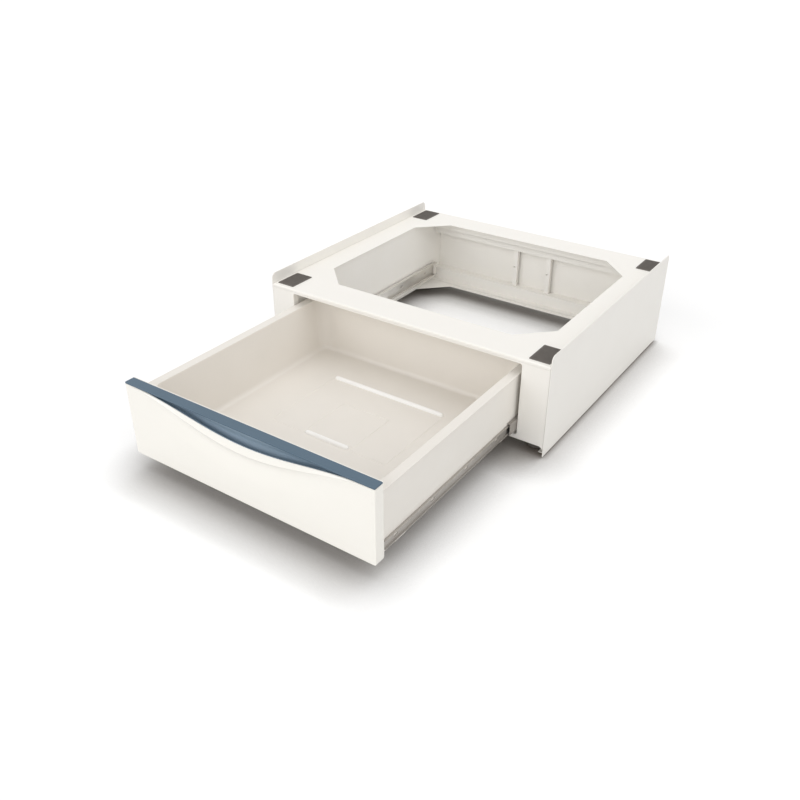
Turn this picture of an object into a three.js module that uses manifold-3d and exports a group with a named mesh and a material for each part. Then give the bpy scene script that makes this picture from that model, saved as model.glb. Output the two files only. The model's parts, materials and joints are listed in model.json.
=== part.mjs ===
// Washer pedestal with a wide storage drawer on telescopic ball slides.
// Millimetres. x runs to the right, y to the back, z up from the floor.
// Everything is drawn with the drawer shut and the cabinet's front face at y = 0;
// the groups at the end then pull the drawer out to its open stop.
import * as THREE from 'three';
import { mergeVertices } from 'three/addons/utils/BufferGeometryUtils.js';
import Module from 'manifold-3d';

const wasm = await Module();
wasm.setup();

// ---------------------------------------------------------------- sizes

// Cabinet
const WIDTH = 600;
const DEPTH = 543;
const DECK_Z = 177;              // upper face of the deck
const LIP_HEIGHT = 20;           // side panels standing above the deck
const FLOOR_GAP = 3;             // side panels clear the floor
const SKIN = 1.5;                // outer sheet
const SHEET = 1.2;               // inner sheet
const SEAT = 0.3;                // gap between pieces that bear on each other
const PANEL_CORNER = 10;
const PANEL_FOOT_FLANGE = 12;

const DECK_NOSE = 5.5;           // front edge of the deck, turned down over the frame

// Drawer opening in the front frame
const OPENING_STILE = 53;        // frame beside the opening
const OPENING_HALF = WIDTH / 2 - OPENING_STILE;
const OPENING_SILL_Z = 29.3;
const OPENING_HEAD = 9.4;        // from the deck's upper face to the top of the opening
const OPENING_TOP_Z = DECK_Z - OPENING_HEAD;
const OPENING_CORNER = 4.5;
const OPENING_RETURN = 14;       // depth of the frame's folded edge
const FRAME_FOOT_Z = 22;         // lower edge of the front frame
const FRAME_TOP_FLANGE = 16;
const FRAME_GUSSET = 9;

// Eight-sided openings, given by the plate left beside, before and behind them
const DECK_OPENING = { side: 51.5, front: 70, rear: 59, cut: 58.5 };
const BASE_OPENING = { side: 50, front: 60, rear: 49, cut: 58 };

// Inner side walls
const LINER_HALF = OPENING_HALF + 5.3;
const LINER_FLANGE = 30;
const LINER_FOOT_START = 62;
const LINER_FOOT_END = DEPTH - 65;

// Back of the cabinet
const REAR_RAIL_Y = DEPTH - 22;
const REAR_RAIL_FLANGE = 14;
const REAR_RAIL_LIP = 20;         // hanging edge at the front of the upper rail
const UPPER_RAIL_Z = DECK_Z - 40;
const LOWER_RAIL_Z = OPENING_SILL_Z + 19.7;
const DECK_REAR_FLANGE = 20;
const STRAP_SPACING = 82;
const STRAP_WIDTH = 11;
const STRAP_DEPTH = 9;
const STRAP_NOTCH = 3;

// Anti-slip pads on the deck
const PAD = { width: 38.5, depth: 58, height: 2, side: 7.5, front: 8.5, back: 5.5, corner: 2 };

// Levelling feet
const FOOT_INSET_X = 30;
const FOOT_FRONT_Y = 36;
const FOOT_BACK_Y = DEPTH - FOOT_FRONT_Y;
const FOOT_RADIUS = 16;
const FOOT_HEIGHT = 14;
const FOOT_SEAT = 2;             // recess for the stud's head
const STUD_RADIUS = 5;
const STUD_LENGTH = 30;
const STUD_HEX = 17;             // across flats
const INSERT_RADIUS = 10;
const INSERT_HEIGHT = 9;

// Length of the drawer box, and its travel
const RIM_FRONT_Y = 20.6;
const BOX_BACK_Y = DEPTH - 67;
const HELD_LENGTH = 67.4;        // of the box, still in the cabinet at the open stop
const EXTENSION = BOX_BACK_Y - HELD_LENGTH;

// Telescopic slides: each rail is a C, nested in the one outside it
const SLIDE_HEIGHT = 31;
const SLIDE_Z = OPENING_SILL_Z + 6.2 + SLIDE_HEIGHT / 2;
const SLIDE_OUTER_HALF = LINER_HALF - 3.3; // back of the cabinet rail
const SLIDE_DEPTH = 8.4;         // depth of the cabinet rail's C
const SLIDE_INNER_X = SLIDE_OUTER_HALF - SLIDE_DEPTH;
const SLIDE_SHEET = 1.2;
const OUTER_BALL_GAP = 2.8;
const INNER_BALL_GAP = 2.4;
const RAIL_LIP = 3.2;
const MIDDLE_LIP = 2.8;
const RAIL_FRONT_Y = 24;
const RAIL_LENGTH = DEPTH - RAIL_FRONT_Y - 33;
const RAIL_BACK_Y = RAIL_FRONT_Y + RAIL_LENGTH;
const MIDDLE_SHARE = 0.5;        // shares of the drawer's travel
const OUTER_CAGE_SHARE = 0.25;
const INNER_CAGE_SHARE = 0.75;
const MIDDLE_REACH = 24.3;       // of the middle rail, out of the cabinet at the open stop
const MIDDLE_FRONT_Y = MIDDLE_SHARE * EXTENSION - MIDDLE_REACH;
const MIDDLE_LENGTH = RAIL_BACK_Y - 30 - MIDDLE_FRONT_Y;
const DRAWER_RAIL_LENGTH = BOX_BACK_Y - RAIL_FRONT_Y - 4;
const CAGE_SHEET = 0.5;
const CAGE_GAP = 0.15;           // between an inner cage and the rails beside it
const CAGE_BALLS = 7;
const OUTER_CAGE = { start: MIDDLE_FRONT_Y + 10, length: 160 };
const INNER_CAGE = { start: INNER_CAGE_SHARE * EXTENSION - 20.45, length: 76 };
const BRACKET = { length: 42, height: 25, front: 18, rear: 70 };
const STOP_LENGTH = 7;

// Drawer front
const FRONT_SIDE_GAP = 1.6;
const FRONT_SILL_GAP = 1.3;
const FRONT_HEAD_GAP = 1.8;
const FRONT_THICKNESS = 20.2;
const FRONT_WALL = 2;
const FRONT_EDGE_RADIUS = 1.6;
const FRONT_LOWER_CORNER = 4;
const INNER_PANEL = 1.7;
const TRIM_HEIGHT = 2.5;
const SCOOP_DEPTH = 39.4;        // dip of the white edge in the middle
const SCOOP_END = 0.4;           // from the end of the front to the end of the dip
const LIP_RISE = 14.5;           // bevel above the dip
const LIP_SET_BACK = 5;
const LIP_WALL = 1.5;
const POCKET_END = 49.4;         // from the end of the front to the finger pocket
const POCKET_DEPTH = 15;
const POCKET_WALL = 1.2;
const POCKET_RADIUS = 4;

// Drawer box
const RIM_Z = OPENING_TOP_Z - 21.1;
const RIM_WIDTH = 17;
const RIM_THICKNESS = 2.5;
const RIM_HALF = OPENING_HALF - 5;
const RIM_END_WIDTH = 7;
const TUB_WALL = 2.2;
const TUB_BASE_Z = OPENING_SILL_Z + 8.7;
const TUB_FLOOR_Z = TUB_BASE_Z + 2;
const TUB_DRAFT = 7;
const TUB_CORNER = 26;
const TUB_FILLET = 9;
const FLOOR_PLATFORM = { y: 35.7, length: 244, width: 178, height: 0.9, flank: 0.9 };
const FLOOR_SQUARE = { y: 7.7, length: 100, width: 104, height: 1.7, flank: 1.7 };
const FLOOR_BAR_BACK = { y: 124.7, length: 240, width: 4.6, height: 3.6, flank: 1.7 };
const FLOOR_BAR_FRONT = { y: -52.3, length: 92, width: 4.6, height: 3.6, flank: 1.7 };
const SIDE_HALF = SLIDE_INNER_X - 0.4;
const SIDE_FOOT_FLANGE = 34;
const SIDE_TOP_FLANGE = 12;
const CROSS_RAIL = { width: 44, crown: 24, front: 70, rear: 96, depth: 4.2 };
const CORNER_BRACKET = { leg: 23, height: 17, foot: 7 };

// ---------------------------------------------------------------- colours

const finish = (color, roughness, metalness) =>
  new THREE.MeshStandardMaterial({ color, roughness, metalness });
const WHITE_COAT = finish(0xf4f2ec, 0.45, 0);
const INNER_COAT = finish(0xdfd8cf, 0.5, 0);
const TUB_PLASTIC = finish(0xe4ded6, 0.4, 0);
const FRONT_PLASTIC = finish(0xf6f4ee, 0.32, 0);
const BLUE_PLASTIC = finish(0x566d82, 0.38, 0);
const DARK_RUBBER = finish(0x57534d, 0.9, 0);
const ZINC = finish(0x9c958c, 0.35, 1);
const BALL_STEEL = finish(0xb9b6b1, 0.2, 1);

// ---------------------------------------------------------------- making solids

const ROUND_SIDES = 16;

const outline = (points) => new THREE.Shape(points.map(([a, b]) => new THREE.Vector2(a, b)));

function roundedOutline(a0, b0, a1, b1, radius) {
  const shape = new THREE.Shape();
  shape.moveTo(a0 + radius, b0);
  shape.lineTo(a1 - radius, b0).absarc(a1 - radius, b0 + radius, radius, -Math.PI / 2, 0);
  shape.lineTo(a1, b1 - radius).absarc(a1 - radius, b1 - radius, radius, 0, Math.PI / 2);
  shape.lineTo(a0 + radius, b1).absarc(a0 + radius, b1 - radius, radius, Math.PI / 2, Math.PI);
  shape.lineTo(a0, b0 + radius).absarc(a0 + radius, b0 + radius, radius, Math.PI, 1.5 * Math.PI);
  return shape;
}

const extrude = (shape, depth, curveSegments) =>
  new THREE.ExtrudeGeometry(shape, { depth, bevelEnabled: false, curveSegments });

// A plan outline (x, y) standing from z0 to z1.
function upright(shape, z0, z1, curveSegments = 4) {
  return extrude(shape, z1 - z0, curveSegments).translate(0, 0, z0);
}

// A cross-section (x, z) running from y0 to y1.
function lengthwise(shape, y0, y1, curveSegments = 4) {
  return extrude(shape, y1 - y0, curveSegments).rotateX(Math.PI / 2).translate(0, y1, 0);
}

// A side outline (y, z) running from x0 to x1.
function crosswise(shape, x0, x1, curveSegments = 4) {
  const turn = new THREE.Matrix4().makeBasis(
    new THREE.Vector3(0, 1, 0), new THREE.Vector3(0, 0, 1), new THREE.Vector3(1, 0, 0));
  return extrude(shape, x1 - x0, curveSegments).applyMatrix4(turn).translate(x0, 0, 0);
}

function box(x0, x1, y0, y1, z0, z1) {
  const geometry = new THREE.BoxGeometry(x1 - x0, y1 - y0, z1 - z0);
  return geometry.translate((x0 + x1) / 2, (y0 + y1) / 2, (z0 + z1) / 2);
}

function upstandingCylinder(radius, z0, z1, x = 0, y = 0, sides = ROUND_SIDES) {
  const geometry = new THREE.CylinderGeometry(radius, radius, z1 - z0, sides);
  return geometry.rotateX(Math.PI / 2).translate(x, y, (z0 + z1) / 2);
}

// A bent sheet: an open path of one face, thickened to the left of its direction.
function sheetOutline(path, thickness) {
  const points = path.map(([a, b]) => new THREE.Vector2(a, b));
  const normals = [];
  for (let i = 0; i + 1 < points.length; i += 1) {
    const along = points[i + 1].clone().sub(points[i]).normalize();
    normals.push(new THREE.Vector2(-along.y, along.x));
  }
  const offset = points.map((point, i) => {
    const before = normals[Math.max(i - 1, 0)];
    const after = normals[Math.min(i, normals.length - 1)];
    const mitre = before.clone().add(after);
    mitre.multiplyScalar(thickness / mitre.dot(before));
    return point.clone().add(mitre);
  });
  return new THREE.Shape([...points, ...offset.reverse()]);
}

// The same geometry with its shared corners merged.
function welded(geometry) {
  const bare = geometry.clone();
  bare.deleteAttribute('normal');
  bare.deleteAttribute('uv');
  return mergeVertices(bare, 1e-4);
}

function toSolid(geometry) {
  const merged = welded(geometry);
  return new wasm.Manifold(new wasm.Mesh({
    numProp: 3,
    vertProperties: new Float32Array(merged.attributes.position.array),
    triVerts: new Uint32Array(merged.index.array),
  }));
}

function toGeometry(solid) {
  const data = solid.getMesh();
  const geometry = new THREE.BufferGeometry();
  geometry.setAttribute('position', new THREE.BufferAttribute(new Float32Array(data.vertProperties), 3));
  geometry.setIndex(new THREE.BufferAttribute(new Uint32Array(data.triVerts), 1));
  return geometry;
}

const join = (first, ...others) =>
  toGeometry(others.reduce((sum, next) => sum.add(toSolid(next)), toSolid(first)));
const cut = (first, ...tools) =>
  toGeometry(tools.reduce((rest, tool) => rest.subtract(toSolid(tool)), toSolid(first)));
const common = (first, second) => toGeometry(toSolid(first).intersect(toSolid(second)));

// A closed skin over equal-sized sections of 3-D points, with both ends capped.
function loft(sections, capPlane) {
  const size = sections[0].length;
  const positions = sections.flat(2);
  const index = [];
  for (let s = 0; s + 1 < sections.length; s += 1) {
    for (let i = 0; i < size; i += 1) {
      const next = (i + 1) % size;
      const [a, b] = [s * size + i, s * size + next];
      const [c, d] = [a + size, b + size];
      index.push(a, b, d, a, d, c);
    }
  }
  const last = (sections.length - 1) * size;
  capIndex(sections[0], capPlane).forEach(([a, b, c]) => index.push(a, c, b));
  capIndex(sections.at(-1), capPlane).forEach(([a, b, c]) => index.push(last + a, last + b, last + c));
  const geometry = new THREE.BufferGeometry();
  geometry.setAttribute('position', new THREE.Float32BufferAttribute(positions, 3));
  geometry.setIndex(index);
  return facingOut(geometry);
}

// Triangles that fill a section, turning the same way as its points.
function capIndex(section, capPlane) {
  const flat = section.map((point) => new THREE.Vector2(...capPlane.map((k) => point[k])));
  const faces = THREE.ShapeUtils.triangulateShape(flat, []);
  return THREE.ShapeUtils.isClockWise(flat) ? faces.map(([a, b, c]) => [a, c, b]) : faces;
}

function facingOut(geometry) {
  const position = geometry.attributes.position;
  const index = geometry.index.array;
  const corner = (k) => new THREE.Vector3().fromBufferAttribute(position, index[k]);
  let volume = 0;
  for (let k = 0; k < index.length; k += 3) {
    volume += corner(k).dot(corner(k + 1).cross(corner(k + 2)));
  }
  if (volume < 0) {
    for (let k = 0; k < index.length; k += 3) {
      [index[k], index[k + 1]] = [index[k + 1], index[k]];
    }
  }
  return geometry;
}

const SIDES = [['left', -1], ['right', 1]];

// The same piece on the other hand: x changes sign and the faces are turned back.
function handed(geometry, sign) {
  if (sign > 0) return geometry;
  return facingOut(welded(geometry).scale(-1, 1, 1));
}

function piece(parent, name, geometry, material) {
  const mesh = new THREE.Mesh(geometry, material);
  mesh.name = name;
  parent.add(mesh);
  return mesh;
}

// ---------------------------------------------------------------- cabinet shell

const INNER_WIDTH_HALF = WIDTH / 2 - SKIN - SEAT;
const DECK_UNDER_Z = DECK_Z - SKIN;
const BASE_TOP_Z = FRAME_FOOT_Z;
const BASE_UNDER_Z = BASE_TOP_Z - SKIN;
const BACK_INNER_Y = DEPTH - SHEET;

// Outer side panel: one flat sheet with rounded upper corners and a folded foot.
function sidePanel() {
  const top = DECK_Z + LIP_HEIGHT;
  const shape = new THREE.Shape();
  shape.moveTo(0, FLOOR_GAP);
  shape.lineTo(DEPTH, FLOOR_GAP);
  shape.lineTo(DEPTH, top - PANEL_CORNER);
  shape.absarc(DEPTH - PANEL_CORNER, top - PANEL_CORNER, PANEL_CORNER, 0, Math.PI / 2);
  shape.lineTo(PANEL_CORNER, top);
  shape.absarc(PANEL_CORNER, top - PANEL_CORNER, PANEL_CORNER, Math.PI / 2, Math.PI);
  const sheet = crosswise(shape, WIDTH / 2 - SKIN, WIDTH / 2, 6);
  const foot = box(WIDTH / 2 - SKIN - PANEL_FOOT_FLANGE, WIDTH / 2 - SKIN / 2,
    PANEL_CORNER, DEPTH - PANEL_CORNER, FLOOR_GAP, FLOOR_GAP + SKIN);
  return join(sheet, foot);
}

// Front frame: a pressed face with the edges of the opening folded back.
function frontFrame() {
  const face = new THREE.Shape();
  const foot = FRAME_FOOT_Z - FRAME_GUSSET;
  const edge = INNER_WIDTH_HALF;
  const head = DECK_Z - DECK_NOSE - SEAT;
  face.moveTo(-edge + FRAME_GUSSET, FRAME_FOOT_Z);
  face.lineTo(edge - FRAME_GUSSET, FRAME_FOOT_Z);
  face.absarc(edge - FRAME_GUSSET, foot, FRAME_GUSSET, Math.PI / 2, 0, true);
  face.lineTo(edge, head);
  face.lineTo(-edge, head);
  face.lineTo(-edge, foot);
  face.absarc(-edge + FRAME_GUSSET, foot, FRAME_GUSSET, Math.PI, Math.PI / 2, true);
  face.holes.push(openingOutline(0));
  const rim = openingOutline(SKIN);
  rim.holes.push(openingOutline(0));
  const behindNose = SKIN + SEAT;
  const joggle = crosswise(sheetOutline([[SKIN / 2, head - SKIN], [behindNose, head - SKIN],
    [behindNose, DECK_UNDER_Z - SEAT], [FRAME_TOP_FLANGE, DECK_UNDER_Z - SEAT]], -SKIN), -edge, edge);
  return join(lengthwise(face, 0, SKIN), lengthwise(rim, SKIN / 2, OPENING_RETURN), joggle);
}

function openingOutline(grow) {
  return roundedOutline(-OPENING_HALF - grow, OPENING_SILL_Z - grow,
    OPENING_HALF + grow, OPENING_TOP_Z + grow, OPENING_CORNER + grow);
}

// Eight-sided outline that leaves the given widths of plate around it.
function octagon({ side, front, rear, cut: corner }) {
  const [x, y0, y1] = [WIDTH / 2 - side, front, DEPTH - rear];
  return outline([
    [-x + corner, y0], [x - corner, y0], [x, y0 + corner], [x, y1 - corner],
    [x - corner, y1], [-x + corner, y1], [-x, y1 - corner], [-x, y0 + corner],
  ]);
}

// A plate between the side panels with an eight-sided opening.
function openPlate(opening, y0, y1, topZ) {
  const plate = outline([
    [-INNER_WIDTH_HALF, y0], [INNER_WIDTH_HALF, y0], [INNER_WIDTH_HALF, y1], [-INNER_WIDTH_HALF, y1]]);
  plate.holes.push(octagon(opening));
  return upright(plate, topZ - SKIN, topZ);
}

function deck() {
  const rearFlange = box(-INNER_WIDTH_HALF + SKIN, INNER_WIDTH_HALF - SKIN,
    BACK_INNER_Y - SEAT - SKIN, BACK_INNER_Y - SEAT, DECK_UNDER_Z - DECK_REAR_FLANGE, DECK_Z - SKIN / 2);
  const nose = box(-INNER_WIDTH_HALF, INNER_WIDTH_HALF, 0, SKIN, DECK_Z - DECK_NOSE, DECK_Z - SKIN / 2);
  return join(openPlate(DECK_OPENING, 0, DEPTH, DECK_Z), rearFlange, nose);
}

function basePlate() {
  const plate = openPlate(BASE_OPENING, SKIN + SEAT, BACK_INNER_Y - SEAT, BASE_TOP_Z);
  const holes = footPlaces().map(([, x, y]) =>
    upstandingCylinder(STUD_RADIUS + SEAT, BASE_UNDER_Z - 1, BASE_TOP_Z + 1, x, y));
  return cut(plate, ...holes);
}

// Inner side wall: an upright channel, open towards the outer panel, clear of the deck's rear flange.
function liner() {
  const footZ = BASE_TOP_Z + SEAT;
  const headZ = DECK_UNDER_Z - SEAT;
  const channel = sheetOutline([
    [LINER_HALF + LINER_FLANGE, footZ], [LINER_HALF, footZ], [LINER_HALF, headZ],
    [LINER_HALF + LINER_FLANGE, headZ]], -SHEET);
  const end = BACK_INNER_Y - SEAT;
  const wall = lengthwise(channel, FRAME_TOP_FLANGE + SEAT, end);
  const beyond = LINER_HALF + LINER_FLANGE + 1;
  const clearFoot = (y0, y1) => box(LINER_HALF + SHEET, beyond, y0, y1, footZ - 1, footZ + SHEET + 1);
  const underDeckFlange = box(LINER_HALF - 1, beyond, end - 2 * SKIN, DEPTH,
    DECK_UNDER_Z - DECK_REAR_FLANGE - SEAT, DECK_Z);
  return cut(wall, clearFoot(0, LINER_FOOT_START), clearFoot(LINER_FOOT_END, DEPTH), underDeckFlange);
}

// ---------------------------------------------------------------- back of the cabinet

function backPanel() {
  const footZ = FRAME_FOOT_Z - FRAME_GUSSET;
  return box(-INNER_WIDTH_HALF, INNER_WIDTH_HALF, BACK_INNER_Y, DEPTH, footZ, DECK_UNDER_Z - SEAT);
}

const REAR_RAIL_HALF = LINER_HALF - SEAT;

// Upper back rail: hangs from the deck behind the opening, its front edge turned down.
function rearUpperRail() {
  const headZ = DECK_UNDER_Z - SEAT;
  const footZ = UPPER_RAIL_Z + SHEET;
  const frontY = REAR_RAIL_Y - REAR_RAIL_FLANGE;
  const path = [[frontY, headZ - REAR_RAIL_LIP], [frontY, headZ], [REAR_RAIL_Y, headZ],
    [REAR_RAIL_Y, footZ], [BACK_INNER_Y - SEAT, footZ]];
  return crosswise(sheetOutline(path, -SHEET), -REAR_RAIL_HALF, REAR_RAIL_HALF);
}

// Lower back rail: a low step across the back of the base.
function rearLowerRail() {
  const footZ = BASE_TOP_Z + SEAT;
  const headZ = LOWER_RAIL_Z - SHEET;
  const path = [[REAR_RAIL_Y - REAR_RAIL_FLANGE, footZ], [REAR_RAIL_Y, footZ], [REAR_RAIL_Y, headZ],
    [BACK_INNER_Y - SEAT, headZ]];
  return crosswise(sheetOutline(path, SHEET), -REAR_RAIL_HALF, REAR_RAIL_HALF);
}

// Upright strap between the back rails: a narrow channel, notched half way up.
function backStrap() {
  const front = REAR_RAIL_Y + SHEET + 6;
  const half = STRAP_WIDTH / 2;
  const footZ = LOWER_RAIL_Z + SEAT;
  const headZ = UPPER_RAIL_Z - SEAT;
  const channel = sheetOutline([
    [-half, front + STRAP_DEPTH], [-half, front], [half, front], [half, front + STRAP_DEPTH]], SHEET);
  const middle = (footZ + headZ) / 2;
  const notch = box(-half - 1, 0, front - 1, front + STRAP_DEPTH + 1, middle, middle + STRAP_NOTCH);
  return cut(upright(channel, footZ, headZ), notch);
}

// ---------------------------------------------------------------- pads and feet

function pad() {
  const plan = roundedOutline(-PAD.width / 2, -PAD.depth / 2, PAD.width / 2, PAD.depth / 2, PAD.corner);
  return upright(plan, DECK_Z, DECK_Z + PAD.height, 3);
}

const STUD_HEX_RADIUS = STUD_HEX / 2 / Math.cos(Math.PI / 6);

function footPlaces() {
  const x = WIDTH / 2 - FOOT_INSET_X;
  return [['front_left', -x, FOOT_FRONT_Y], ['front_right', x, FOOT_FRONT_Y],
    ['rear_left', -x, FOOT_BACK_Y], ['rear_right', x, FOOT_BACK_Y]];
}

// Rubber foot: a shallow turned cup with a bevelled edge and a seat for the stud's head.
function footPad() {
  const seat = STUD_HEX_RADIUS + SEAT;
  const floor = FOOT_HEIGHT - FOOT_SEAT;
  const profile = [[0, 0], [FOOT_RADIUS - 1.5, 0], [FOOT_RADIUS, 1.5], [FOOT_RADIUS, FOOT_HEIGHT / 2],
    [FOOT_RADIUS - 3, FOOT_HEIGHT], [seat, FOOT_HEIGHT], [seat, floor], [0, floor]];
  return turned(profile);
}

function turned(profile) {
  const points = profile.map(([r, z]) => new THREE.Vector2(r, z));
  return facingOut(welded(new THREE.LatheGeometry(points, ROUND_SIDES).rotateX(Math.PI / 2)));
}

// Threaded stud with a hexagon for the wrench; screwed right in, it bears on the base plate.
function footStud() {
  const bottom = FOOT_HEIGHT - FOOT_SEAT + SEAT;
  const hexagon = upstandingCylinder(STUD_HEX_RADIUS, bottom, BASE_UNDER_Z - SEAT, 0, 0, 6);
  return join(hexagon, upstandingCylinder(STUD_RADIUS, bottom + 1, bottom + STUD_LENGTH));
}

// Threaded insert pressed to the base plate, round the stud.
function footInsert() {
  const bottom = BASE_TOP_Z + SEAT;
  const bore = STUD_RADIUS + SEAT;
  const profile = [[bore, bottom], [INSERT_RADIUS, bottom], [INSERT_RADIUS, bottom + 1.6],
    [bore + 2.4, bottom + 1.6], [bore + 2.4, bottom + INSERT_HEIGHT], [bore, bottom + INSERT_HEIGHT],
    [bore, bottom]];
  return turned(profile);
}

// ---------------------------------------------------------------- telescopic slides

const RAIL_TOP = SLIDE_HEIGHT / 2;
const MIDDLE_TOP = RAIL_TOP - SLIDE_SHEET - OUTER_BALL_GAP;
const DRAWER_RAIL_TOP = MIDDLE_TOP - SLIDE_SHEET - INNER_BALL_GAP;
const MIDDLE_BACK_X = SLIDE_OUTER_HALF - 2 * SLIDE_SHEET;
const DRAWER_RAIL_X = SIDE_HALF + SEAT;
const DRAWER_RAIL_EDGE_X = MIDDLE_BACK_X - SLIDE_SHEET - CAGE_SHEET - 2 * CAGE_GAP;

// A C section: web at webX, open towards mouthX, with a lip turned in at each mouth edge.
function railSection(webX, mouthX, halfHeight, lip) {
  return sheetOutline([
    [mouthX, SLIDE_Z - halfHeight + lip], [mouthX, SLIDE_Z - halfHeight],
    [webX, SLIDE_Z - halfHeight], [webX, SLIDE_Z + halfHeight],
    [mouthX, SLIDE_Z + halfHeight], [mouthX, SLIDE_Z + halfHeight - lip]], SLIDE_SHEET);
}

// Slots along a rail's web, as pressed for the screws and the lanced stops.
function webSlots(geometry, webX, places, length) {
  const tools = places.map((y) => crosswise(
    roundedOutline(y, SLIDE_Z - 2.2, y + length, SLIDE_Z + 2.2, 2.1), webX - 3, webX + 3, 2));
  return cut(geometry, ...tools);
}

function evenly(start, end, count) {
  return Array.from({ length: count }, (_, i) => start + ((end - start) * i) / (count - 1));
}

function cabinetRail() {
  const section = railSection(SLIDE_OUTER_HALF, SLIDE_INNER_X, RAIL_TOP, RAIL_LIP);
  const rail = lengthwise(section, RAIL_FRONT_Y, RAIL_FRONT_Y + RAIL_LENGTH);
  const slots = evenly(RAIL_FRONT_Y + 36, RAIL_FRONT_Y + RAIL_LENGTH - 46, 5);
  return webSlots(rail, SLIDE_OUTER_HALF, slots, 11);
}

function middleRail() {
  const section = railSection(MIDDLE_BACK_X, SLIDE_INNER_X + 0.4, MIDDLE_TOP, MIDDLE_LIP);
  const rail = lengthwise(section, MIDDLE_FRONT_Y, MIDDLE_FRONT_Y + MIDDLE_LENGTH);
  const slots = evenly(MIDDLE_FRONT_Y + 30, MIDDLE_FRONT_Y + MIDDLE_LENGTH - 40, 4);
  return webSlots(rail, MIDDLE_BACK_X, slots, 14);
}

function drawerRail() {
  const section = sheetOutline([
    [DRAWER_RAIL_EDGE_X, SLIDE_Z + DRAWER_RAIL_TOP], [DRAWER_RAIL_X, SLIDE_Z + DRAWER_RAIL_TOP],
    [DRAWER_RAIL_X, SLIDE_Z - DRAWER_RAIL_TOP], [DRAWER_RAIL_EDGE_X, SLIDE_Z - DRAWER_RAIL_TOP],
  ], SLIDE_SHEET);
  const rail = lengthwise(section, RAIL_FRONT_Y, RAIL_FRONT_Y + DRAWER_RAIL_LENGTH);
  const slots = evenly(RAIL_FRONT_Y + 24, RAIL_FRONT_Y + DRAWER_RAIL_LENGTH - 34, 5);
  return webSlots(rail, DRAWER_RAIL_X, slots, 10);
}

// Ball cage: a thin pressed channel with two rows of balls held in it.
function ballCage({ start, length }, webX, mouthX, ballHalf, ballGap, ballX) {
  const half = ballHalf + CAGE_SHEET / 2;
  const section = sheetOutline([[mouthX, SLIDE_Z - half], [webX, SLIDE_Z - half],
    [webX, SLIDE_Z + half], [mouthX, SLIDE_Z + half]], CAGE_SHEET);
  const channel = lengthwise(section, start, start + length);
  const radius = ballGap / 2 - 0.1;
  const places = evenly(start + 6, start + length - 6, CAGE_BALLS);
  const balls = [-1, 1].flatMap((row) => places.map((y) =>
    new THREE.SphereGeometry(radius, 6, 4).rotateX(Math.PI / 2)
      .translate(ballX, y, SLIDE_Z + row * ballHalf)));
  return join(channel, ...balls);
}

function outerCage() {
  const webX = SLIDE_OUTER_HALF - SLIDE_SHEET - SEAT * 0.8;
  const mouthX = SLIDE_INNER_X + SLIDE_SHEET + SEAT;
  return ballCage(OUTER_CAGE, webX, mouthX, MIDDLE_TOP + OUTER_BALL_GAP / 2, OUTER_BALL_GAP,
    (webX + mouthX) / 2);
}

function innerCage() {
  const webX = MIDDLE_BACK_X - SLIDE_SHEET - CAGE_GAP;
  const mouthX = SLIDE_INNER_X + 0.4 + SLIDE_SHEET + SEAT;
  return ballCage(INNER_CAGE, webX, mouthX, DRAWER_RAIL_TOP + INNER_BALL_GAP / 2, INNER_BALL_GAP,
    (webX + mouthX) / 2);
}

// Spacer bracket between the inner wall and the cabinet rail.
function railBracket(y) {
  const plate = crosswise(
    roundedOutline(y, SLIDE_Z - BRACKET.height / 2, y + BRACKET.length, SLIDE_Z + BRACKET.height / 2, 3),
    SLIDE_OUTER_HALF + SEAT, LINER_HALF - SEAT, 3);
  const slot = crosswise(roundedOutline(y + 13, SLIDE_Z - 2.2, y + 29, SLIDE_Z + 2.2, 2.1),
    SLIDE_OUTER_HALF, LINER_HALF, 3);
  return cut(plate, slot);
}

// Plastic block at the back of the cabinet rail that takes up the shutting drawer.
function railStop() {
  const y = RAIL_FRONT_Y + RAIL_LENGTH - STOP_LENGTH - 1;
  const half = RAIL_TOP - SLIDE_SHEET - SEAT;
  return crosswise(roundedOutline(y, SLIDE_Z - half, y + STOP_LENGTH, SLIDE_Z + half, 2),
    SLIDE_INNER_X + SLIDE_SHEET + SEAT, SLIDE_OUTER_HALF - SLIDE_SHEET - SEAT, 3);
}

// ---------------------------------------------------------------- drawer front

const FRONT_HALF = OPENING_HALF - FRONT_SIDE_GAP;
const SCOOP_HALF = FRONT_HALF - SCOOP_END;
const POCKET_HALF = FRONT_HALF - POCKET_END;
const FRONT_BOTTOM_Z = OPENING_SILL_Z + FRONT_SILL_GAP;
const FRONT_TOP_Z = OPENING_TOP_Z - FRONT_HEAD_GAP;
const SHELL_DEPTH = FRONT_THICKNESS - INNER_PANEL - SEAT;
const SHELL_TOP_Z = FRONT_TOP_Z - TRIM_HEIGHT - SEAT;

const hump = (x, half, power) => {
  const t = Math.min(Math.abs(x) / half, 1);
  return (0.5 * (1 + Math.cos(Math.PI * t))) ** power;
};
// Height of the white edge on the face, and of the bevelled lip above it.
const scoopZ = (x) => SHELL_TOP_Z - SCOOP_DEPTH * hump(x, SCOOP_HALF, 0.9);
const lipZ = (x) => Math.min(scoopZ(x) + 0.2 + LIP_RISE * hump(x, SCOOP_HALF, 0.6), SHELL_TOP_Z + 0.2);
const lipBack = (x) => 0.3 + (LIP_SET_BACK - 0.3) * hump(x, SCOOP_HALF, 0.4);

function roundedCorner(cy, cz, radius, from, to, steps) {
  return Array.from({ length: steps + 1 }, (_, i) => {
    const angle = from + ((to - from) * i) / steps;
    return [cy + radius * Math.cos(angle), cz + radius * Math.sin(angle)];
  });
}

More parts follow.
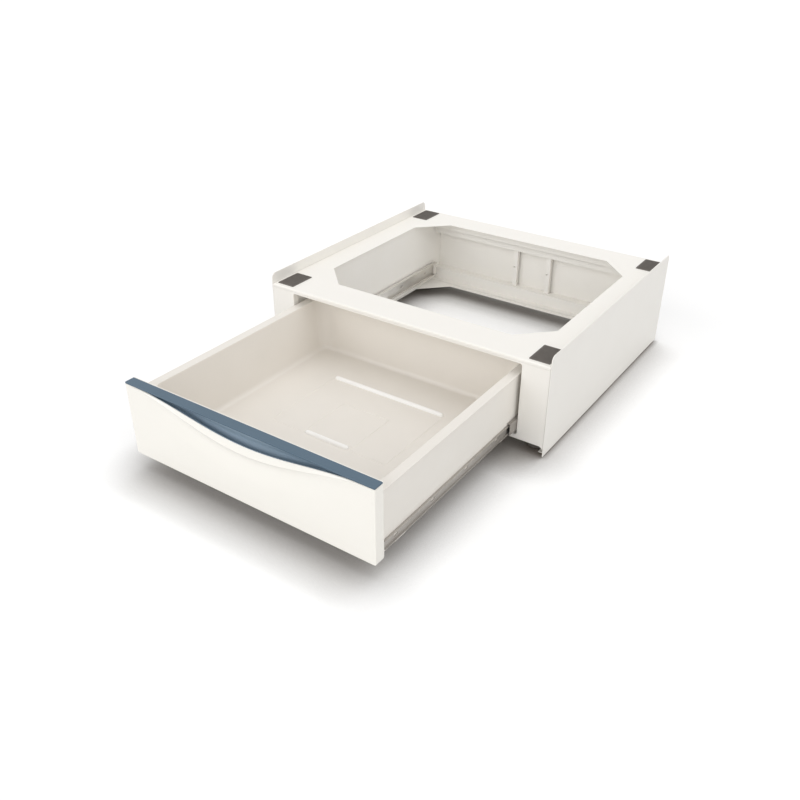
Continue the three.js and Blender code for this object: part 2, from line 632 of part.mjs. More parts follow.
// Front shell: bottom edge, face, bevelled lip along the scoop, open at the back.
function shellSection(x) {
  const r = FRONT_EDGE_RADIUS;
  const foot = roundedCorner(r, FRONT_BOTTOM_Z + r, r, -Math.PI / 2, -Math.PI, 3);
  const edge = scoopZ(x);
  const top = lipZ(x);
  const back = lipBack(x);
  const section = [
    [SHELL_DEPTH, FRONT_BOTTOM_Z], ...foot, [0, edge - 2], [back * 0.12, edge],
    [back * 0.55, (edge + top) / 2], [back, top],
    [back + LIP_WALL, top], [back * 0.55 + FRONT_WALL, (edge + top) / 2 - 1], [FRONT_WALL, edge - 3],
    [FRONT_WALL, FRONT_BOTTOM_Z + FRONT_WALL], [SHELL_DEPTH, FRONT_BOTTOM_Z + FRONT_WALL]];
  return section.map(([y, z]) => [x, y, z]);
}

function drawerFront() {
  const stations = evenly(-FRONT_HALF, FRONT_HALF, 33);
  const skin = loft(stations.map(shellSection), [1, 2]);
  const endWall = (x0, x1) => box(x0, x1, 0, SHELL_DEPTH, FRONT_BOTTOM_Z, SHELL_TOP_Z);
  const walls = join(skin, endWall(-FRONT_HALF, -FRONT_HALF + FRONT_WALL),
    endWall(FRONT_HALF - FRONT_WALL, FRONT_HALF));
  return common(common(walls, frontPlan(FRONT_BOTTOM_Z - 1, SHELL_TOP_Z)), frontElevation(0));
}

// Face outline of the drawer front, eased at its lower corners to follow the opening.
function frontElevation(inset) {
  const r = FRONT_LOWER_CORNER;
  const [x, z] = [FRONT_HALF - inset, FRONT_BOTTOM_Z + inset];
  const face = new THREE.Shape();
  face.moveTo(-x + r, z);
  face.lineTo(x - r, z).absarc(x - r, z + r, r, -Math.PI / 2, 0);
  face.lineTo(x, FRONT_TOP_Z - SEAT).lineTo(-x, FRONT_TOP_Z - SEAT);
  face.lineTo(-x, z + r).absarc(-x + r, z + r, r, Math.PI, 1.5 * Math.PI);
  return lengthwise(face, -1, FRONT_THICKNESS, 3);
}

// Plan of the drawer front with its two face corners eased.
function frontPlan(z0, z1) {
  const r = FRONT_EDGE_RADIUS;
  const plan = new THREE.Shape();
  plan.moveTo(-FRONT_HALF + r, 0);
  plan.lineTo(FRONT_HALF - r, 0).absarc(FRONT_HALF - r, r, r, -Math.PI / 2, 0);
  plan.lineTo(FRONT_HALF, SHELL_DEPTH).lineTo(-FRONT_HALF, SHELL_DEPTH);
  plan.lineTo(-FRONT_HALF, r).absarc(-FRONT_HALF + r, r, r, Math.PI, 1.5 * Math.PI);
  return upright(plan, z0, z1, 3);
}

function innerPanel() {
  const slab = box(-FRONT_HALF, FRONT_HALF, SHELL_DEPTH + SEAT, FRONT_THICKNESS,
    FRONT_BOTTOM_Z, FRONT_TOP_Z);
  return common(slab, frontElevation(SEAT));
}

// ---------------------------------------------------------------- handle trim

const pocketFront = (x) => lipBack(x) + LIP_WALL + SEAT;
const pocketTop = (x) => lipZ(x) - 0.5;
const pocketFloor = (x) => pocketTop(x) - POCKET_DEPTH * hump(x, SCOOP_HALF, 0.5);
const POCKET_BACK = SHELL_DEPTH - POCKET_WALL - 0.6;

// Outside of the finger pocket, from under the strip down behind the lip.
function pocketBlock(x) {
  const under = FRONT_TOP_Z - TRIM_HEIGHT / 2;
  const [y0, y1] = [pocketFront(x), POCKET_BACK + POCKET_WALL];
  const bottom = pocketFloor(x) - POCKET_WALL;
  const section = [[y0, under], [y0, bottom + 2], [y0 + 2, bottom], [y1 - 3, bottom], [y1, bottom + 3],
    [y1, under]];
  return section.map(([y, z]) => [x, y, z]);
}

// The hollow that the fingers use: in over the lip, then down behind it. Its back wall
// slopes in from the front edge of the strip.
function pocketHollow(x) {
  const under = FRONT_TOP_Z - TRIM_HEIGHT;
  const inner = pocketFront(x) + POCKET_WALL;
  const top = pocketTop(x);
  const bottom = pocketFloor(x);
  const rise = under - bottom;
  const r = Math.min(POCKET_RADIUS, (POCKET_BACK - inner) * 0.45, (top - bottom) * 0.8, rise * 0.4);
  const section = [
    [-1, under], [1, under], [POCKET_BACK * 0.62, under - rise * 0.3], [POCKET_BACK, under - rise * 0.58],
    ...roundedCorner(POCKET_BACK - r, bottom + r, r, 0, -Math.PI / 2, 3),
    ...roundedCorner(inner + r, bottom + r, r, -Math.PI / 2, -Math.PI, 3),
    [inner, top], [-1, top]];
  return section.map(([y, z]) => [x, y, z]);
}

function handleTrim() {
  const strip = frontPlan(FRONT_TOP_Z - TRIM_HEIGHT, FRONT_TOP_Z);
  const edge = outline([[-1, FRONT_TOP_Z + 1], [-1, FRONT_TOP_Z - 0.8], [0, FRONT_TOP_Z - 0.8],
    [0.8, FRONT_TOP_Z], [0.8, FRONT_TOP_Z + 1]]);
  const block = loft(evenly(-POCKET_HALF, POCKET_HALF, 25).map(pocketBlock), [1, 2]);
  const end = POCKET_HALF - POCKET_WALL;
  const hollow = loft(evenly(-end, end, 25).map(pocketHollow), [1, 2]);
  return cut(join(strip, block), hollow, crosswise(edge, -FRONT_HALF - 1, FRONT_HALF + 1));
}

// ---------------------------------------------------------------- drawer box

const RIM_UNDER_Z = RIM_Z - RIM_THICKNESS;

// One level of the tub: a rounded rectangle given by its inset from the rim's outer edge.
function tubRing(sideInset, endInset, z, radius) {
  const shape = roundedOutline(-RIM_HALF + sideInset, RIM_FRONT_Y + endInset,
    RIM_HALF - sideInset, BOX_BACK_Y - endInset, radius);
  const points = shape.getPoints(4);
  points.pop();
  return points.map((point) => [point.x, point.y, z]);
}

// Moulded tub: flat rim, drafted walls, filleted floor.
function tubShell() {
  const inner = (depth, radius, z) => tubRing(RIM_WIDTH + depth, RIM_END_WIDTH + depth, z, radius);
  const foot = TUB_FLOOR_Z + TUB_FILLET;
  const rings = [
    tubRing(RIM_WIDTH + TUB_DRAFT + TUB_FILLET, RIM_END_WIDTH + TUB_DRAFT + TUB_FILLET, TUB_BASE_Z, 16),
    tubRing(RIM_WIDTH + TUB_DRAFT - TUB_WALL + 2, RIM_END_WIDTH + TUB_DRAFT - TUB_WALL + 2,
      TUB_BASE_Z + 4, 22),
    tubRing(RIM_WIDTH + TUB_DRAFT - TUB_WALL, RIM_END_WIDTH + TUB_DRAFT - TUB_WALL, foot, TUB_CORNER),
    tubRing(RIM_WIDTH - TUB_WALL, RIM_END_WIDTH - TUB_WALL, RIM_UNDER_Z, TUB_CORNER + TUB_WALL),
    tubRing(0.4, 0.4, RIM_UNDER_Z, 4),
    tubRing(0, 0, RIM_UNDER_Z + 0.6, 4),
    tubRing(0, 0, RIM_Z - 0.8, 4),
    tubRing(0.8, 0.8, RIM_Z, 4),
    inner(-1.2, TUB_CORNER, RIM_Z),
    inner(0, TUB_CORNER, RIM_Z - 1.2),
    inner(TUB_DRAFT, TUB_CORNER - 4, foot),
  ];
  for (const angle of [30, 60, 90]) {
    const t = THREE.MathUtils.degToRad(angle);
    rings.push(inner(TUB_DRAFT + TUB_FILLET * (1 - Math.cos(t)), 22 - angle / 15,
      foot - TUB_FILLET * Math.sin(t)));
  }
  return loft(rings, [0, 1]);
}

// Raised shape on the floor with sloping flanks, set off along y from the middle of the box.
function floorBar({ y, length, width, height, flank }) {
  const centre = (RIM_FRONT_Y + BOX_BACK_Y) / 2 + y;
  const ring = (grow, z) => {
    const [x, half] = [length / 2 + grow, width / 2 + grow];
    return [[-x, centre - half, z], [x, centre - half, z], [x, centre + half, z], [-x, centre + half, z]];
  };
  return loft([ring(flank, TUB_FLOOR_Z - TUB_WALL / 4), ring(0, TUB_FLOOR_Z + height)], [0, 1]);
}

function drawerTub() {
  const raised = [FLOOR_PLATFORM, FLOOR_SQUARE, FLOOR_BAR_BACK, FLOOR_BAR_FRONT];
  return join(tubShell(), ...raised.map(floorBar));
}

// Outer side wall: folded under the rim, straight down beside the slide, turned in at the foot.
function drawerSide() {
  const head = RIM_UNDER_Z - SEAT;
  const foot = TUB_BASE_Z - SEAT - SHEET;
  const section = sheetOutline([[SIDE_HALF - SIDE_TOP_FLANGE, head], [SIDE_HALF, head],
    [SIDE_HALF, foot], [SIDE_HALF - SIDE_FOOT_FLANGE, foot]], -SHEET);
  return lengthwise(section, RIM_FRONT_Y + SEAT, BOX_BACK_Y - 1);
}

// Back wall of the drawer, inside the side walls, with a foot turned forward under the tub.
function drawerBack() {
  const head = RIM_UNDER_Z - 2 * SEAT - SHEET;
  const foot = TUB_BASE_Z - SEAT - SHEET;
  const y = BOX_BACK_Y - 3;
  const half = SIDE_HALF - SHEET - SEAT;
  const tongue = half - SIDE_FOOT_FLANGE;
  const plate = box(-half, half, y - SHEET, y, TUB_BASE_Z, head);
  const lowered = box(-tongue, tongue, y - SHEET, y, foot, TUB_BASE_Z + SHEET);
  const turnedFoot = box(-tongue, tongue, y - 18, y - SHEET / 2, foot, foot + SHEET);
  const ear = (x0, x1) => box(x0, x1, y - 16, y - SHEET / 2, foot + 8, foot + 24);
  return join(plate, lowered, turnedFoot, ear(half - SHEET, half), ear(-half, -half + SHEET));
}

// Cross rail: a shallow hat section under the tub, between the feet of the side walls.
function crossRail(y) {
  const top = TUB_BASE_Z - 2 * SEAT - SHEET;
  const crown = top - CROSS_RAIL.depth;
  const half = CROSS_RAIL.width / 2;
  const inner = CROSS_RAIL.crown / 2;
  const section = sheetOutline([
    [y - half, top], [y - inner - 3, top], [y - inner, crown + SHEET], [y + inner, crown + SHEET],
    [y + inner + 3, top], [y + half, top]], -SHEET);
  const reach = SIDE_HALF - SHEET - 1;
  return crosswise(section, -reach, reach);
}

// Angle that ties the side wall to the drawer front.
function cornerBracket() {
  const outer = SIDE_HALF - SHEET - SEAT;
  const front = FRONT_THICKNESS + SEAT;
  const section = sheetOutline([[outer - CORNER_BRACKET.leg, front], [outer, front],
    [outer, front + CORNER_BRACKET.leg]], SHEET);
  const foot = TUB_BASE_Z + CORNER_BRACKET.foot;
  return upright(section, foot, foot + CORNER_BRACKET.height);
}

// ---------------------------------------------------------------- assembly

function cabinetGroup() {
  const cabinet = new THREE.Group();
  piece(cabinet, 'front_frame', frontFrame(), WHITE_COAT);
  piece(cabinet, 'deck', deck(), WHITE_COAT);
  piece(cabinet, 'base_plate', basePlate(), WHITE_COAT);
  piece(cabinet, 'back_panel', backPanel(), INNER_COAT);
  piece(cabinet, 'rear_upper_rail', rearUpperRail(), INNER_COAT);
  piece(cabinet, 'rear_lower_rail', rearLowerRail(), INNER_COAT);
  for (const [side, sign] of SIDES) {
    piece(cabinet, `side_panel_${side}`, handed(sidePanel(), sign), WHITE_COAT);
    piece(cabinet, `liner_${side}`, handed(liner(), sign), INNER_COAT);
    piece(cabinet, `back_strap_${side}`, backStrap(), INNER_COAT).position.x = (sign * STRAP_SPACING) / 2;
    piece(cabinet, `cabinet_rail_${side}`, handed(cabinetRail(), sign), ZINC);
    for (const [end, y] of [['front', RAIL_FRONT_Y + BRACKET.front], ['rear', RAIL_BACK_Y - BRACKET.rear]]) {
      piece(cabinet, `rail_bracket_${end}_${side}`, handed(railBracket(y), sign), ZINC);
    }
    piece(cabinet, `rail_stop_${side}`, handed(railStop(), sign), TUB_PLASTIC);
    const padX = sign * (WIDTH / 2 - PAD.side - PAD.width / 2);
    piece(cabinet, `pad_front_${side}`, pad(), DARK_RUBBER).position.set(padX, PAD.front + PAD.depth / 2, 0);
    piece(cabinet, `pad_rear_${side}`, pad(), DARK_RUBBER)
      .position.set(padX, DEPTH - PAD.back - PAD.depth / 2, 0);
  }
  for (const [place, x, y] of footPlaces()) {
    piece(cabinet, `foot_insert_${place}`, footInsert(), ZINC).position.set(x, y, 0);
    const foot = new THREE.Group();
    foot.position.set(x, y, 0);
    piece(foot, `foot_pad_${place}`, footPad(), DARK_RUBBER);
    piece(foot, `foot_stud_${place}`, footStud(), ZINC);
    cabinet.add(foot);
  }
  return cabinet;
}

// The moving parts of the slides; each stage goes its own share of the drawer's travel.
function slideStages() {
  const stages = new THREE.Group();
  const stage = (share) => {
    const group = new THREE.Group();
    group.position.y = -EXTENSION * share;
    stages.add(group);
    return group;
  };
  const [outer, middle, inner] = [stage(OUTER_CAGE_SHARE), stage(MIDDLE_SHARE), stage(INNER_CAGE_SHARE)];
  for (const [side, sign] of SIDES) {
    piece(outer, `outer_cage_${side}`, handed(outerCage(), sign), BALL_STEEL);
    piece(middle, `middle_rail_${side}`, handed(middleRail(), sign), ZINC);
    piece(inner, `inner_cage_${side}`, handed(innerCage(), sign), BALL_STEEL);
  }
  return stages;
}

function drawerGroup() {
  const drawer = new THREE.Group();
  drawer.position.y = -EXTENSION;
  piece(drawer, 'drawer_front', drawerFront(), FRONT_PLASTIC);
  piece(drawer, 'inner_panel', innerPanel(), FRONT_PLASTIC);
  piece(drawer, 'handle_trim', handleTrim(), BLUE_PLASTIC);
  piece(drawer, 'drawer_tub', drawerTub(), TUB_PLASTIC);
  piece(drawer, 'drawer_back', drawerBack(), INNER_COAT);
  piece(drawer, 'cross_rail_front', crossRail(CROSS_RAIL.front), ZINC);
  piece(drawer, 'cross_rail_rear', crossRail(BOX_BACK_Y - CROSS_RAIL.rear), ZINC);
  for (const [side, sign] of SIDES) {
    piece(drawer, `drawer_side_${side}`, handed(drawerSide(), sign), TUB_PLASTIC);
    piece(drawer, `drawer_rail_${side}`, handed(drawerRail(), sign), ZINC);
    piece(drawer, `corner_bracket_${side}`, handed(cornerBracket(), sign), ZINC);
  }
  return drawer;
}

const pedestal = new THREE.Group();
pedestal.add(cabinetGroup(), slideStages(), drawerGroup());
// The origin is on the floor, under the middle of the open pedestal.
pedestal.position.y = -(DEPTH - EXTENSION) / 2;

export default pedestal;
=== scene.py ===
"""Washer pedestal with a wide storage drawer: its looks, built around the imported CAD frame.

Sizes are in millimetres and are turned to metres as each mesh is made. x runs to the right,
y to the back and z up from the floor, as in the frame.
"""

from __future__ import annotations

import sys

import json
import logging
import math
from collections.abc import Callable, Iterable, Iterator, Sequence
from dataclasses import dataclass
from enum import Enum
from typing import Any

import bmesh
import bpy
from mathutils import Matrix, Vector

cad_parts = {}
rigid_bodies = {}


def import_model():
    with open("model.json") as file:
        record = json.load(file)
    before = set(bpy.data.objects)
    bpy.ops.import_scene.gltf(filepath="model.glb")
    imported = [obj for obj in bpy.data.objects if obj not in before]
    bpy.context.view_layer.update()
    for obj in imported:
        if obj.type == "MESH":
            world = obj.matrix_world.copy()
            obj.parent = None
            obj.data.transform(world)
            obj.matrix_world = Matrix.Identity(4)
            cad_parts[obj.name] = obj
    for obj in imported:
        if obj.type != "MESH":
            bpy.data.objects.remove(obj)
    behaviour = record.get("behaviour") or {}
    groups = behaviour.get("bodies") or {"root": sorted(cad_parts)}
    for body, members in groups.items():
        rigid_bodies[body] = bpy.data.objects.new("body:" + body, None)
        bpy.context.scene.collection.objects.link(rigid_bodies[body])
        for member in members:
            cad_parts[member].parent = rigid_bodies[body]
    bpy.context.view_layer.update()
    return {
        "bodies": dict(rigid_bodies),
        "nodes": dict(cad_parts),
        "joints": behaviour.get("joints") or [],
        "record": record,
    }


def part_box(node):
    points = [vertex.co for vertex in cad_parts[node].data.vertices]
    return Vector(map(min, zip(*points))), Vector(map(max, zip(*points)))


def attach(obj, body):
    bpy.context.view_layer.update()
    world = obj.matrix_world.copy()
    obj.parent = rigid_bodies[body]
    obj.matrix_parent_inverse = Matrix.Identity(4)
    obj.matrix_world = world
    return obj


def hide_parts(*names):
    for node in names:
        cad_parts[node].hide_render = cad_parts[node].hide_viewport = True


LOG = logging.getLogger("pedestal")
METRES = 0.001

Point2 = tuple[float, float]
Point3 = tuple[float, float, float]
Tree = bpy.types.NodeTree
Socket = bpy.types.NodeSocket
Piece = bpy.types.Object
Skin = bmesh.types.BMesh
Edge = bmesh.types.BMEdge
EdgeTest = Callable[[Edge], bool]

# Faces that meet at more than this are left sharp and may be eased.
SHARP_DEG = 38.0
# Facets of a CAD node that meet at less than this are joined into one face.
FLAT_DEG = 0.4
# Points closer than this are merged: in a new form, in millimetres, and in a CAD node, in metres.
FORM_MERGE_MM = 1e-4
NODE_MERGE_M = 1e-6
# Chords across a rounded bend in sheet metal.
BEND_STEPS = 4
# The colour sockets of a mix node, by number: two colours in and one out.
MIX_FIRST, MIX_SECOND, MIX_RESULT = 6, 7, 2


class Side(Enum):
    """The two hands of a paired piece, as the sign of its x."""

    LEFT = -1
    RIGHT = 1

    @property
    def word(self) -> str:
        """The ending of the node names on this side."""
        return self.name.lower()


# ---------------------------------------------------------------- finishes


def linear(code: str) -> tuple[float, float, float, float]:
    """Turn an sRGB hex colour into linear light.

    Args:
        code: Six hex digits, with or without a leading #.

    Returns:
        Red, green, blue and an alpha of 1.
    """
    digits = code.lstrip("#")
    parts = [int(digits[k : k + 2], 16) / 255 for k in (0, 2, 4)]
    red, green, blue = (c / 12.92 if c <= 0.04045 else ((c + 0.055) / 1.055) ** 2.4 for c in parts)
    return red, green, blue, 1.0


def add_node(
    tree: Tree,
    kind: str,
    values: dict[str | int, Any] | None = None,
    links: dict[str | int, Socket] | None = None,
    **settings: Any,
) -> bpy.types.Node:
    """Add one node to a tree, with its settings, input values and links.

    Args:
        tree: The shader or geometry tree.
        kind: The node's type name.
        values: Constants by input name or number.
        links: Output sockets by the input name or number that they feed.
        settings: Attributes of the node itself.

    Returns:
        The new node.
    """
    node = tree.nodes.new(kind)
    for name, value in settings.items():
        setattr(node, name, value)
    for key, value in (values or {}).items():
        node.inputs[key].default_value = value
    for key, socket in (links or {}).items():
        tree.links.new(socket, node.inputs[key])
    return node


def per_metre(pattern_mm: float) -> float:
    """The texture scale that repeats about once in a pattern size given in millimetres."""
    return 1.0 / (pattern_mm * METRES)


@dataclass(frozen=True)
class Finish:
    """A surface's material: a mottled base colour, a roughness and a fine relief.

    Each subclass draws the pattern that its making leaves.
    """

    name: str
    colour: str
    shade: str
    roughness: float
    roughness_spread: float = 0.04
    metallic: float = 0.0
    ior: float = 1.5
    coat: float = 0.0
    coat_roughness: float = 0.08
    mottle_mm: float = 60.0
    relief_mm: float = 3.0
    relief_depth_mm: float = 0.02
    relief_strength: float = 0.35

    def material(self) -> bpy.types.Material:
        """The finish's material, made once and then shared."""
        made = bpy.data.materials.get(self.name)
        return made if made else self._make()

    def _make(self) -> bpy.types.Material:
        """Build the node tree: object coordinates, colour, roughness and relief.

        Returns:
            The new material.
        """
        material = bpy.data.materials.new(self.name)
        material.use_nodes = True
        tree = material.node_tree
        tree.nodes.clear()
        place = add_node(tree, "ShaderNodeTexCoord").outputs["Object"]
        tone = self.tone(tree, place)
        shader = add_node(
            tree,
            "ShaderNodeBsdfPrincipled",
            {
                "Metallic": self.metallic,
                "Coat Weight": self.coat,
                "Coat Roughness": self.coat_roughness,
            },
            {
                "Base Color": self.colouring(tree, tone),
                "Roughness": self.gloss(tree, tone),
                "Normal": self.relief(tree, place),
            },
        )
        if not self.metallic:
            shader.inputs["IOR"].default_value = self.ior
        add_node(tree, "ShaderNodeOutputMaterial", links={"Surface": shader.outputs[0]})
        return material

    def tone(self, tree: Tree, place: Socket) -> Socket:
        """The slow variation that moves colour and gloss together.

        Args:
            tree: The material's tree.
            place: Object coordinates.

        Returns:
            A share from 0 to 1.
        """
        values = {"Scale": per_metre(self.mottle_mm), "Detail": 3.0, "Roughness": 0.55}
        return add_node(tree, "ShaderNodeTexNoise", values, {"Vector": place}).outputs["Fac"]

    def colouring(self, tree: Tree, tone: Socket) -> Socket:
        """Mix the colour and its slightly darker shade.

        Args:
            tree: The material's tree.
            tone: The share of the shade.

        Returns:
            The base colour.
        """
        colours = {MIX_FIRST: linear(self.colour), MIX_SECOND: linear(self.shade)}
        mix = add_node(tree, "ShaderNodeMix", colours, {0: tone}, data_type="RGBA")
        return mix.outputs[MIX_RESULT]

    def gloss(self, tree: Tree, tone: Socket) -> Socket:
        """Roughness that wanders a little round its typical value.

        Args:
            tree: The material's tree.
            tone: The share of the way from smoothest to roughest.

        Returns:
            The roughness.
        """
        low, high = self.roughness - self.roughness_spread, self.roughness + self.roughness_spread
        limits = {"To Min": low, "To Max": high}
        return add_node(tree, "ShaderNodeMapRange", limits, {"Value": tone}).outputs["Result"]

    def relief(self, tree: Tree, place: Socket) -> Socket:
        """The fine unevenness of the surface, as bump.

        Args:
            tree: The material's tree.
            place: Object coordinates.

        Returns:
            The bent normal.
        """
        depth = {"Strength": self.relief_strength, "Distance": self.relief_depth_mm * METRES}
        height = {"Height": self.grain(tree, place)}
        return add_node(tree, "ShaderNodeBump", depth, height).outputs["Normal"]

    def grain(self, tree: Tree, place: Socket) -> Socket:
        """The pattern of the unevenness: small grains, alike in every direction."""
        values = {"Scale": per_metre(self.relief_mm), "Detail": 2.0}
        return add_node(tree, "ShaderNodeTexNoise", values, {"Vector": place}).outputs["Fac"]


@dataclass(frozen=True)
class RolledZinc(Finish):
    """Zinc-plated strip steel: fine lines along the rolling direction, y, and a dull sparkle."""

    relief_strength: float = 0.4
    line_mm: float = 1.6
    line_stretch: float = 40.0

    def grain(self, tree: Tree, place: Socket) -> Socket:
        """Rolling lines: noise stretched along y.

        Args:
            tree: The material's tree.
            place: Object coordinates.

        Returns:
            The height of the lines.
        """
        squeeze = {"Scale": (1.0, 1.0 / self.line_stretch, 1.0)}
        stretched = add_node(tree, "ShaderNodeMapping", squeeze, {"Vector": place}).outputs[0]
        values = {"Scale": per_metre(self.line_mm), "Detail": 3.0}
        return add_node(tree, "ShaderNodeTexNoise", values, {"Vector": stretched}).outputs["Fac"]


@dataclass(frozen=True)
class ThinningPaint(Finish):
    """Paint made paler towards the bottom of a hollow: painted light that lifts the shade there.

    colour is what shows at low_mm, measured up from the floor, and shade from high_mm on.
    """

    low_mm: float = 0.0
    high_mm: float = 10.0

    def tone(self, tree: Tree, place: Socket) -> Socket:
        """The height in the hollow.

        Args:
            tree: The material's tree.
            place: Object coordinates.

        Returns:
            0 at the bottom, and 1 where the paint is no longer made paler.
        """
        height = add_node(tree, "ShaderNodeSeparateXYZ", links={0: place}).outputs["Z"]
        limits = {"From Min": self.low_mm * METRES, "From Max": self.high_mm * METRES}
        return add_node(tree, "ShaderNodeMapRange", limits, {"Value": height}).outputs["Result"]


# White polyester powder coat on steel, sprayed and baked: satin, with a faint orange peel.
# Real peel is about 1 mm across; it is drawn at 5 mm so that it shows in a picture.
CABINET_COAT = Finish(
    "white_powder_coat", "#f4f1eb", "#f1eee8", 0.42, relief_mm=5.0, relief_depth_mm=0.03
)
# The same coat on the inner sheets, a little warmer and flatter, and lighter: painted light inside.
LINER_PAINTED_LIGHT_COAT = Finish(
    "warm_powder_coat", "#faf7f2", "#f6f3ec", 0.5, relief_mm=5.0, relief_depth_mm=0.03
)
# Powder coat on the drawer's folded sides.
DRAWER_COAT = Finish(
    "ivory_powder_coat", "#f0ece5", "#ece7df", 0.46, relief_mm=5.0, relief_depth_mm=0.03
)
# Injection-moulded polypropylene: satin, with the soft unevenness of a large thin moulding.
TUB_PLASTIC = Finish(
    "moulded_polypropylene", "#ebe6df", "#e7e2da", 0.38, relief_mm=14.0, relief_depth_mm=0.05
)
# The same plastic in the two bars on the floor, made lighter: a painted highlight on their tops.
BAR_PAINTED_HIGHLIGHT = Finish(
    "polished_polypropylene", "#fcfbf9", "#faf8f5", 0.3, relief_mm=14.0, relief_depth_mm=0.03
)
# Injection-moulded ABS with a semi-gloss face.
FRONT_PLASTIC = Finish(
    "semi_gloss_abs",
    "#f9f6ef",
    "#f7f4ec",
    0.26,
    0.03,
    coat=0.15,
    relief_mm=22.0,
    relief_depth_mm=0.04,
)
# Slate-blue painted ABS: satin, its colour slightly cloudy.
TRIM_PLASTIC = Finish(
    "slate_blue_painted_abs", "#4f6577", "#4a6070", 0.5, 0.05, relief_mm=2.5, relief_depth_mm=0.02
)
# The same paint inside the finger pocket, made paler towards its bottom: painted light in its
# shade.
POCKET_PAINTED_LIGHT = ThinningPaint(
    "pale_slate_painted_abs",
    "#a6b7c5",
    "#8599a9",
    0.52,
    0.05,
    relief_mm=2.5,
    relief_depth_mm=0.02,
    low_mm=128.0,
    high_mm=150.0,
)
# Moulded nitrile rubber: nearly matt, with a fine grain; grain is drawn at 1.5 mm to show.
DARK_RUBBER = Finish(
    "nitrile_rubber",
    "#6d6863",
    "#635e59",
    0.82,
    0.06,
    ior=1.52,
    mottle_mm=12.0,
    relief_mm=1.5,
    relief_depth_mm=0.12,
)
# Zinc-plated strip: a light grey metal that mirrors softly along its rolling lines.
ZINC_STEEL = RolledZinc(
    "zinc_plated_steel", "#e6e4e0", "#d8d5d0", 0.42, 0.06, metallic=1.0, mottle_mm=18.0
)
# The same plating on the rails that run out, made darker: painted shade under the drawer.
SHADED_ZINC = RolledZinc(
    "greased_zinc_plate", "#b9b5b0", "#aaa6a1", 0.46, 0.06, metallic=1.0, mottle_mm=18.0
)
# Hardened ball steel, ground and polished.
BALL_STEEL = Finish(
    "polished_ball_steel", "#d8d6d2", "#c9c6c2", 0.2, 0.04, metallic=1.0, mottle_mm=8.0
)

SLOT_FINISHES: dict[str, Finish] = {
    "cabinet_coat": CABINET_COAT,
    # The lighter liner coat paints light onto the shaded inner sheets.
    "liner_coat": LINER_PAINTED_LIGHT_COAT,
    "drawer_coat": DRAWER_COAT,
    "tub_plastic": TUB_PLASTIC,
    "front_plastic": FRONT_PLASTIC,
    "trim_plastic": TRIM_PLASTIC,
    "dark_rubber": DARK_RUBBER,
    "zinc_steel": ZINC_STEEL,
    "ball_steel": BALL_STEEL,
}

# ---------------------------------------------------------------- forming solids


class Axis(Enum):
    """The direction that a flat outline is carried along, by the places of its three axes."""

    X = (1, 2, 0)
    Y = (0, 2, 1)
    Z = (0, 1, 2)

    def point(self, a: float, b: float, along: float) -> Vector:
        """Place an outline's point at a distance along the direction.

        Args:
            a: The point's first measure in the outline.
            b: Its second measure.
            along: The distance.

        Returns:
            The point in space.
        """
        spot = Vector((0.0, 0.0, 0.0))
        first, second, third = self.value
        spot[first], spot[second], spot[third] = a, b, along
        return spot


def arc(
    centre: Point2, radius: float, start_deg: float, end_deg: float, steps: int
) -> list[Point2]:
    """Points of a circular arc, both ends included.

    Args:
        centre: The arc's centre.
        radius: Its radius.
        start_deg: The first point's angle in degrees.
        end_deg: The last point's angle in degrees.
        steps: How many chords it has.

    Returns:
        The points in order.
    """
    points = []
    for k in range(steps + 1):
        turn = math.radians(start_deg + (end_deg - start_deg) * k / steps)
        points.append((centre[0] + radius * math.cos(turn), centre[1] + radius * math.sin(turn)))
    return points


def rounded_box(low: Point2, high: Point2, radius: float, steps: int = 8) -> list[Point2]:
    """A rectangle with round corners, counterclockwise from its lower left.

    Args:
        low: The lowest corner.
        high: The highest corner.
        radius: The corners' radius.
        steps: Chords in each corner.

    Returns:
        The outline's points.
    """
    (a0, b0), (a1, b1) = low, high
    centres = [
        ((a0 + radius, b0 + radius), 180.0),
        ((a1 - radius, b0 + radius), 270.0),
        ((a1 - radius, b1 - radius), 0.0),
        ((a0 + radius, b1 - radius), 90.0),
    ]
    return [p for centre, turn in centres for p in arc(centre, radius, turn, turn + 90, steps)]


def bent(path: Sequence[Point2], sheet: float, bend: float, steps: int = 5) -> list[Point2]:
    """The outline of a folded sheet: a path with round bends, thickened to its left.

    Args:
        path: The corners of one face of the sheet.
        sheet: Its thickness; a negative one lies to the right of the path.
        bend: The inner radius of its bends.
        steps: Chords in each bend.

    Returns:
        The closed outline's points.
    """
    corners = [Vector(p) for p in path]
    line = [corners[0]]
    for before, here, after in zip(corners, corners[1:], corners[2:]):
        into, out = (here - before).normalized(), (after - here).normalized()
        turn = into.x * out.y - into.y * out.x
        angle = into.angle(out)
        radius = bend + abs(sheet) if turn * sheet > 0 else bend
        reach = radius * math.tan(angle / 2)
        side = 1.0 if turn > 0 else -1.0
        start = here - into * reach
        centre = start + Vector((-into.y, into.x)) * side * radius
        first = start - centre
        for k in range(steps + 1):
            sweep = side * angle * k / steps
            across = first.x * math.cos(sweep) - first.y * math.sin(sweep)
            up = first.x * math.sin(sweep) + first.y * math.cos(sweep)
            line.append(centre + Vector((across, up)))
    line.append(corners[-1])
    return [tuple(p) for p in line] + [tuple(p) for p in reversed(_offset(line, sheet))]


def _offset(line: Sequence[Vector], distance: float) -> list[Vector]:
    """Move an open line to its left, mitred at its corners.

    Args:
        line: The line's points.
        distance: How far it moves; a negative one moves it to the right.

    Returns:
        The moved points, in the same order.
    """
    normals = []
    for before, after in zip(line, line[1:]):
        along = (after - before).normalized()
        normals.append(Vector((-along.y, along.x)))
    moved = []
    for k, point in enumerate(line):
        first, second = normals[max(k - 1, 0)], normals[min(k, len(normals) - 1)]
        mitre = first + second
        moved.append(point + mitre * (distance / mitre.dot(first)))
    return moved


